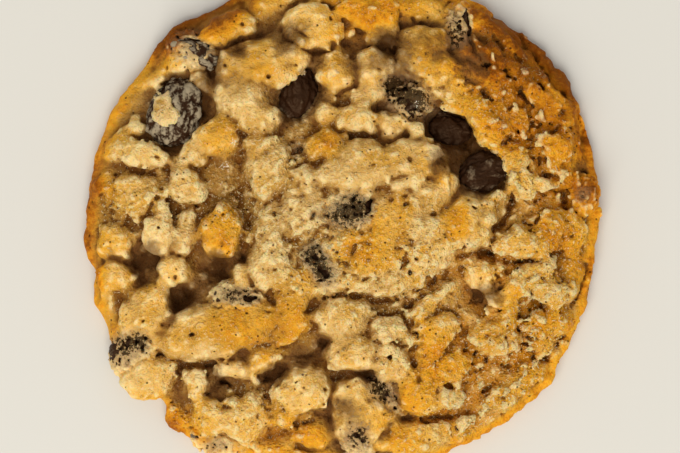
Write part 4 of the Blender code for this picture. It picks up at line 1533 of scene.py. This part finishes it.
GRAINS = (
    # the same for grains where it is gritty: a painted highlight on each grain and painted shade in
    # the gaps between them
    ("#FFE8B4", "sparkle", 0.54, 0.7, 0.9),
    ("#875418", "grit", 0.38, 0.29, 0.9),
)
PINHOLE_GRID, PINHOLE_BEND, PINHOLE_BEND_SIZE = 1.2 * MM, 0.4 * MM, 1.4 * MM
BUMP_HEIGHT = 0.55 * MM


# %% Baked dough
def baked_dough():
    """Straw to gold crust with brown clefts, part painted shade, dull on flour and glossy where fat came up,
    with painted highlights and glints.
    """
    material, tree, place = new_finish("baked_oat_dough")
    times, smooth = {"operation": "MULTIPLY"}, {"interpolation_type": "SMOOTHSTEP"}

    signals, shares = {}, {}
    for name in CRUST_ATTRIBUTES:
        signals[name] = add_node(tree, "ShaderNodeAttribute", {"attribute_name": name}).outputs["Fac"]
    for name, size, detail in CLOUDS:
        inputs = {"Vector": place, "Scale": 1 / (size * MM), "Detail": detail, "Roughness": 0.58}
        signals[name] = add_node(tree, "ShaderNodeTexNoise", {}, inputs).outputs["Fac"]
    for name, start, parts in SUMS:
        signals[name] = weighted_sum(tree, start, [(signals[part], weight) for part, weight in parts])

    ramp = add_node(tree, "ShaderNodeValToRGB", {}, {"Fac": signals["browned"]})
    stops = ramp.color_ramp.elements
    stops[0].position, stops[0].color = 0, linear(BROWNING[0][1])
    stops[1].position, stops[1].color = 1, linear(BROWNING[-1][1])
    for position, hex_colour in BROWNING[1:-1]:
        stops.new(position).color = linear(hex_colour)
    colour = ramp.outputs["Color"]
    for hex_colour, name, *reach in LAYERS:
        colour, shares[name] = covered(tree, colour, linear(hex_colour), signals[name], *reach)
    for hex_colour, name, *reach in GRAINS:
        cover, gritty = linear(hex_colour), signals["gritty"]
        colour, _ = covered(tree, colour, cover, signals[name], *reach, where=gritty)

    # Steam left a pinhole in about three out of ten cells of a bent grid. The dark inside each is
    # painted shade, as the hole is finer than the mesh.
    inputs = {"Vector": place, "Scale": 1 / PINHOLE_BEND_SIZE, "Detail": 2.0}
    bend = add_node(tree, "ShaderNodeTexNoise", {}, inputs).outputs["Color"]
    inputs = {0: bend, "Scale": PINHOLE_BEND}
    bend = add_node(tree, "ShaderNodeVectorMath", {"operation": "SCALE"}, inputs).outputs[0]
    bent = add_node(tree, "ShaderNodeVectorMath", {}, {0: place, 1: bend}).outputs[0]
    cells = add_node(tree, "ShaderNodeTexVoronoi", {}, {"Vector": bent, "Scale": 1 / PINHOLE_GRID}).outputs
    chance = add_node(tree, "ShaderNodeSeparateColor", {}, {"Color": cells["Color"]}).outputs["Red"]
    inputs = {"Value": chance, "From Min": 0.68, "From Max": 0.72, "To Max": 0.85}
    chosen = add_node(tree, "ShaderNodeMapRange", {}, inputs).outputs[0]
    colour, pinhole = covered(tree, colour, linear("#4E2A0C"), cells["Distance"], 0.19, 0.1, where=chosen)

    grains = add_node(tree, "ShaderNodeMath", times, {0: signals["grit"], 1: signals["gritty"]}).outputs[0]
    grit, middle, fine = signals["grit"], signals["middle"], signals["fine"]
    lifts = ((grains, 1.1), (grit, 0.5), (middle, 1.3), (fine, 0.25), (pinhole, -0.6))
    inputs = {"Strength": 1.0, "Distance": BUMP_HEIGHT, "Height": weighted_sum(tree, 0.0, lifts)}
    bump = add_node(tree, "ShaderNodeBump", {}, inputs)
    # Grains of sugar and spots of fat are glossy, and the flour between them isn't.
    inputs = {"Value": signals["sugar"], "From Min": 0.56, "From Max": 0.66}
    sugar = add_node(tree, "ShaderNodeMapRange", smooth, inputs).outputs[0]
    wet, dark, speck = signals["wet"], shares["dark"], shares["speck"]
    rough = weighted_sum(tree, 0.68, ((sugar, -0.12), (dark, -0.15), (wet, -0.2)))
    gloss = weighted_sum(tree, 0.16, ((sugar, 0.08), (wet, 0.5), (dark, -0.2), (speck, -0.2)))
    finish = {"Base Color": colour, "Roughness": rough, "Normal": bump.outputs["Normal"]}
    finish |= {"IOR": 1.46, "Specular IOR Level": gloss, "Specular Tint": linear("#FFE0AA")}
    finish |= {"Subsurface Weight": 0.3, "Subsurface Radius": (1.0, 0.45, 0.15), "Subsurface Scale": 0.9 * MM}
    shader = add_node(tree, "ShaderNodeBsdfPrincipled", {}, finish)
    add_node(tree, "ShaderNodeOutputMaterial", {}, {"Surface": shader.outputs["BSDF"]})
    return material


dough_finish = baked_dough()
crust.data.materials.clear()
crust.data.materials.append(dough_finish)

# %% [markdown]
# ## Raisins
#
# A raisin is a grape that shrank inside its skin, so the skin folded: mostly lengthwise, into
# rounded ridges with sharp creases between them. The measured solid gives each one its place and
# bulk. Its cells are skinned as the dough's were, and ridged noise, stretched along the raisin,
# pushes the folds in and out. A raisin that lies under a film sinks a little, out of its way.

# %% Wrinkle them
FOLD_SIZE, FOLD_LEVEL, FOLD_HEIGHT = 1.4 * MM, 0.35, 1.0 * MM  # below its level a ridge is a groove
CREASE_SIZE, CREASE_LEVEL, CREASE_HEIGHT = 0.62 * MM, 0.3, 0.4 * MM
STRETCH = 0.45  # places count this much along the raisin, which makes its folds that much longer
UNEVEN, UNEVEN_SIZE = 0.8 * MM, 4.5 * MM
SKIN_BLUR, SKIN_AWAY = 0.3 * MM, 0.1 * MM  # the facets are blurred off, and what that took is given back
APART = 30  # how far apart the raisins read the noise, in millimetres, so that no two are alike
LOWEST_SKIN = 0.1 * MM  # the raisins stay above the underside

raisins = []
for number, name in enumerate(raisin_names):
    film, sink, bloom_and_sheen, stained = RAISINS[name]
    cut, form = raisin_forms[name]
    start = low_cell + [c.start for c in cut]
    skin = skin_of(blurred(form, SKIN_BLUR), SKIN_AWAY, start)
    raisin = mesh_from(name.replace("_", "_skin_"), *skin)
    points = points_in(raisin.data)
    normals = np.empty(points.size, np.float32)
    raisin.data.vertex_normals.foreach_get("vector", normals)
    centre = points.mean(axis=0)
    axes = np.linalg.svd(points - centre, full_matrices=False)[2]
    axes *= np.sign(axes[np.arange(3), np.abs(axes).argmax(axis=1)])[:, None]
    along = (points - centre) @ axes.T * (STRETCH, 1, 1) + number * APART * MM
    ridges, creases = np.abs(noise(along, FOLD_SIZE, 31)), np.abs(noise(along, CREASE_SIZE, 32))
    push = (ridges - FOLD_LEVEL) * FOLD_HEIGHT + (creases - CREASE_LEVEL) * CREASE_HEIGHT
    uneven = noise(points + number * APART * MM, UNEVEN_SIZE, 33) * UNEVEN
    points += normals.reshape(-1, 3) * (push + uneven)[:, None]
    points[:, 2] = np.maximum(points[:, 2] - sink * MM, LOWEST_SKIN)
    raisin.data.vertices.foreach_set("co", points.astype(np.float32).ravel())
    raisin.data.update()
    set_attribute(raisin.data, "crest", push / FOLD_HEIGHT)
    set_attribute(raisin.data, "bloom_and_sheen", np.full(len(points), bloom_and_sheen))
    raisins.append(raisin)
print("raisins", sum(len(raisin.data.polygons) for raisin in raisins) * 2, "triangles")

# %% [markdown]
# The skin is brown, near black, and a little glossy. Sugar and flour left a grey-tan bloom on
# it, and the same grey paints a sheen as well: a raisin with much of it is grey all over but for
# the creases, and one with little has some on its highest folds.


# %% Raisin skin
def raisin_skin():
    """Near-black fruit skin, satin in the creases, grey-tan with sugar, flour and a painted sheen on the
    folds.
    """
    material, tree, place = new_finish("raisin_skin")
    crest = add_node(tree, "ShaderNodeAttribute", {"attribute_name": "crest"}).outputs["Fac"]
    bloom_and_sheen = add_node(tree, "ShaderNodeAttribute", {"attribute_name": "bloom_and_sheen"}).outputs["Fac"]
    inputs = {"Vector": place, "Scale": 1 / (2.5 * MM), "Detail": 3.0}
    patchy = add_node(tree, "ShaderNodeTexNoise", {}, inputs).outputs["Fac"]
    inputs = {"Vector": place, "Scale": 1 / (0.4 * MM), "Detail": 3.0}
    fine = add_node(tree, "ShaderNodeTexNoise", {}, inputs).outputs["Fac"]

    # grey on the folds: sugar bloom and a painted sheen, most on the highest crests
    dust_and_sheen = weighted_sum(tree, -1.85, ((crest, 1.6), (bloom_and_sheen, 1.0), (patchy, 0.8), (fine, 1.7)))
    inputs = {"Fac": bloom_and_sheen, "Color1": linear("#4E3620"), "Color2": linear("#B2A284")}
    dust_and_sheen_colour = add_node(tree, "ShaderNodeMixRGB", {}, inputs).outputs["Color"]
    colour, share = covered(tree, linear("#301B0E"), dust_and_sheen_colour, dust_and_sheen, -0.2, 0.5, 0.9)
    rough = add_node(tree, "ShaderNodeMapRange", {}, {"Value": share, "To Min": 0.42, "To Max": 0.7})
    bump = add_node(tree, "ShaderNodeBump", {}, {"Strength": 0.8, "Distance": 0.2 * MM, "Height": fine})
    finish = {"Base Color": colour, "Roughness": rough.outputs[0], "Normal": bump.outputs["Normal"]}
    finish |= {"IOR": 1.5, "Specular IOR Level": 0.3, "Specular Tint": linear("#D8B48C")}
    shader = add_node(tree, "ShaderNodeBsdfPrincipled", {}, finish)
    add_node(tree, "ShaderNodeOutputMaterial", {}, {"Surface": shader.outputs["BSDF"]})
    return material


skin_finish = raisin_skin()
for raisin in raisins:
    raisin.data.materials.append(skin_finish)

# %% [markdown]
# ## Crumbs
#
# Loose grains of dough and sugar stick to the crust where it is crumbly, each about half a
# millimetre wide. Geometry Nodes sow these: they scatter points over the crust, put a rough
# little grain on each, and turn and size it at random. A grain has only 20 faces, as there are
# more than a thousand of them.


# %% Sow crumbs with Geometry Nodes
def sowing_tree(material):
    """A tree that sows rough grains over a piece. The sizes are half of a grain's width."""
    tree = bpy.data.node_groups.new("sow_crumbs", "GeometryNodeTree")
    face = tree.interface
    face.new_socket("Geometry", in_out="INPUT", socket_type="NodeSocketGeometry")
    for name in ("Crumbs per square metre", "Smallest", "Largest"):
        face.new_socket(name, in_out="INPUT", socket_type="NodeSocketFloat")
    face.new_socket("Seed", in_out="INPUT", socket_type="NodeSocketInt")
    face.new_socket("Geometry", in_out="OUTPUT", socket_type="NodeSocketGeometry")
    given = add_node(tree, "NodeGroupInput").outputs

    crumbly = add_node(tree, "GeometryNodeInputNamedAttribute", {"data_type": "FLOAT"}, {"Name": "crumbly"})
    inputs = {0: crumbly.outputs["Attribute"], 1: given["Crumbs per square metre"]}
    density = add_node(tree, "ShaderNodeMath", {"operation": "MULTIPLY"}, inputs).outputs[0]
    inputs = {"Mesh": given["Geometry"], "Density": density, "Seed": given["Seed"]}
    places = add_node(tree, "GeometryNodeDistributePointsOnFaces", {}, inputs).outputs["Points"]
    inputs = {"Radius": 1.0, "Subdivisions": 1}
    grain = add_node(tree, "GeometryNodeMeshIcoSphere", {}, inputs).outputs["Mesh"]
    inputs = {"Max": (2 * math.pi, 2 * math.pi, 2 * math.pi), "Seed": given["Seed"]}
    turn = add_node(tree, "FunctionNodeRandomValue", {"data_type": "FLOAT_VECTOR"}, inputs).outputs["Value"]
    inputs = {"Min": given["Smallest"], "Max": given["Largest"], "Seed": given["Seed"]}
    size = add_node(tree, "FunctionNodeRandomValue", {"data_type": "FLOAT_VECTOR"}, inputs).outputs["Value"]
    inputs = {"Points": places, "Instance": grain, "Rotation": turn, "Scale": size}
    grains = add_node(tree, "GeometryNodeInstanceOnPoints", {}, inputs).outputs["Instances"]
    real = add_node(tree, "GeometryNodeRealizeInstances", {}, {"Geometry": grains}).outputs["Geometry"]
    inputs = {"Geometry": real, "Material": material}
    finished = add_node(tree, "GeometryNodeSetMaterial", {}, inputs).outputs["Geometry"]
    add_node(tree, "NodeGroupOutput", {}, {"Geometry": finished})
    return tree


CRUMB_SETTINGS = {"Crumbs per square metre": 4.0e5, "Smallest": 0.12 * MM, "Largest": 0.42 * MM, "Seed": 5}

crumbs = bpy.data.objects.new("crumbs", crust.data)
bpy.context.scene.collection.objects.link(crumbs)
sower = crumbs.modifiers.new("Sow crumbs", "NODES")
sower.node_group = sowing_tree(dough_finish)
for item in sower.node_group.interface.items_tree:
    if item.in_out == "INPUT" and item.name in CRUMB_SETTINGS:
        sower[item.identifier] = CRUMB_SETTINGS[item.name]
made_plain(crumbs)
crumbs.data.shade_smooth()
print("crumbs", len(crumbs.data.polygons), "triangles")

# %% [markdown]
# ## Table, light and camera
#
# The cookie lies on a plain pale table. A broad soft light stands high over its near side, which
# gives each lump a bright near slope and a soft shadow behind it, and the room fills the rest.
# The camera looks straight down, from far enough that the lumps hardly lean outwards.

# %% Table
TABLE_SIZE, TABLE_GAP = 1.6, 0.02 * MM

bpy.ops.mesh.primitive_plane_add(size=TABLE_SIZE, location=(0, 0, dough_low.z - TABLE_GAP))
table = bpy.context.object
table.name = "table"
paint = bpy.data.materials.new("matt_white_table")
paint.use_nodes = True
shader = paint.node_tree.nodes["Principled BSDF"]
shader.inputs["Base Color"].default_value = linear("#DAD6CC")
shader.inputs["Roughness"].default_value = 0.6
table.data.materials.append(paint)

# %% Light
KEY_BEARING, KEY_HEIGHT = math.radians(-104), math.radians(57)
KEY_DISTANCE, KEY_SIZE, KEY_POWER, ROOM_LIGHT = 1.7, 1.42, 25.2, 0.55

scene = bpy.context.scene
scene.view_settings.view_transform = "Standard"
world = bpy.data.worlds.new("room")
world.use_nodes = True
background = world.node_tree.nodes["Background"]
background.inputs["Color"].default_value = linear("#F4F5F6")
background.inputs["Strength"].default_value = ROOM_LIGHT
scene.world = world

key = bpy.data.objects.new("key", bpy.data.lights.new("key", "AREA"))
scene.collection.objects.link(key)
key.data.size = KEY_SIZE
key.data.energy = KEY_POWER
key.data.color = linear("#FFFCF6")[:3]
flat = math.cos(KEY_HEIGHT)
towards = Vector((flat * math.cos(KEY_BEARING), flat * math.sin(KEY_BEARING), math.sin(KEY_HEIGHT)))
key.location = towards * KEY_DISTANCE
key.rotation_euler = towards.to_track_quat("Z", "Y").to_euler()

# %% Camera
LENS, SENSOR = 200, 36  # the lens and the width behind it, in the camera's own millimetres
CAMERA_HEIGHT = 621 * MM
ASIDE_X, ASIDE_Y = 0.31 * MM, 0.49 * MM  # how far off the dough's middle the camera stands

camera = bpy.data.objects.new("camera", bpy.data.cameras.new("camera"))
scene.collection.objects.link(camera)
camera.data.lens = LENS
camera.data.sensor_width = SENSOR
camera.data.clip_start = 1 * MM
camera.location = (dough_middle.x - ASIDE_X, dough_middle.y - ASIDE_Y, CAMERA_HEIGHT)
scene.camera = camera

# %% [markdown]
# ## Hand over
#
# Every piece rides on the cookie's one body, and stands for the solids it was made from, which
# are hidden.

# %% Pieces on the body, in place of the solids
for piece in [crust, crumbs, *raisins]:
    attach(piece, "root")
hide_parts("dough")
for raisin, name in zip(raisins, raisin_names):
    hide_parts(name)
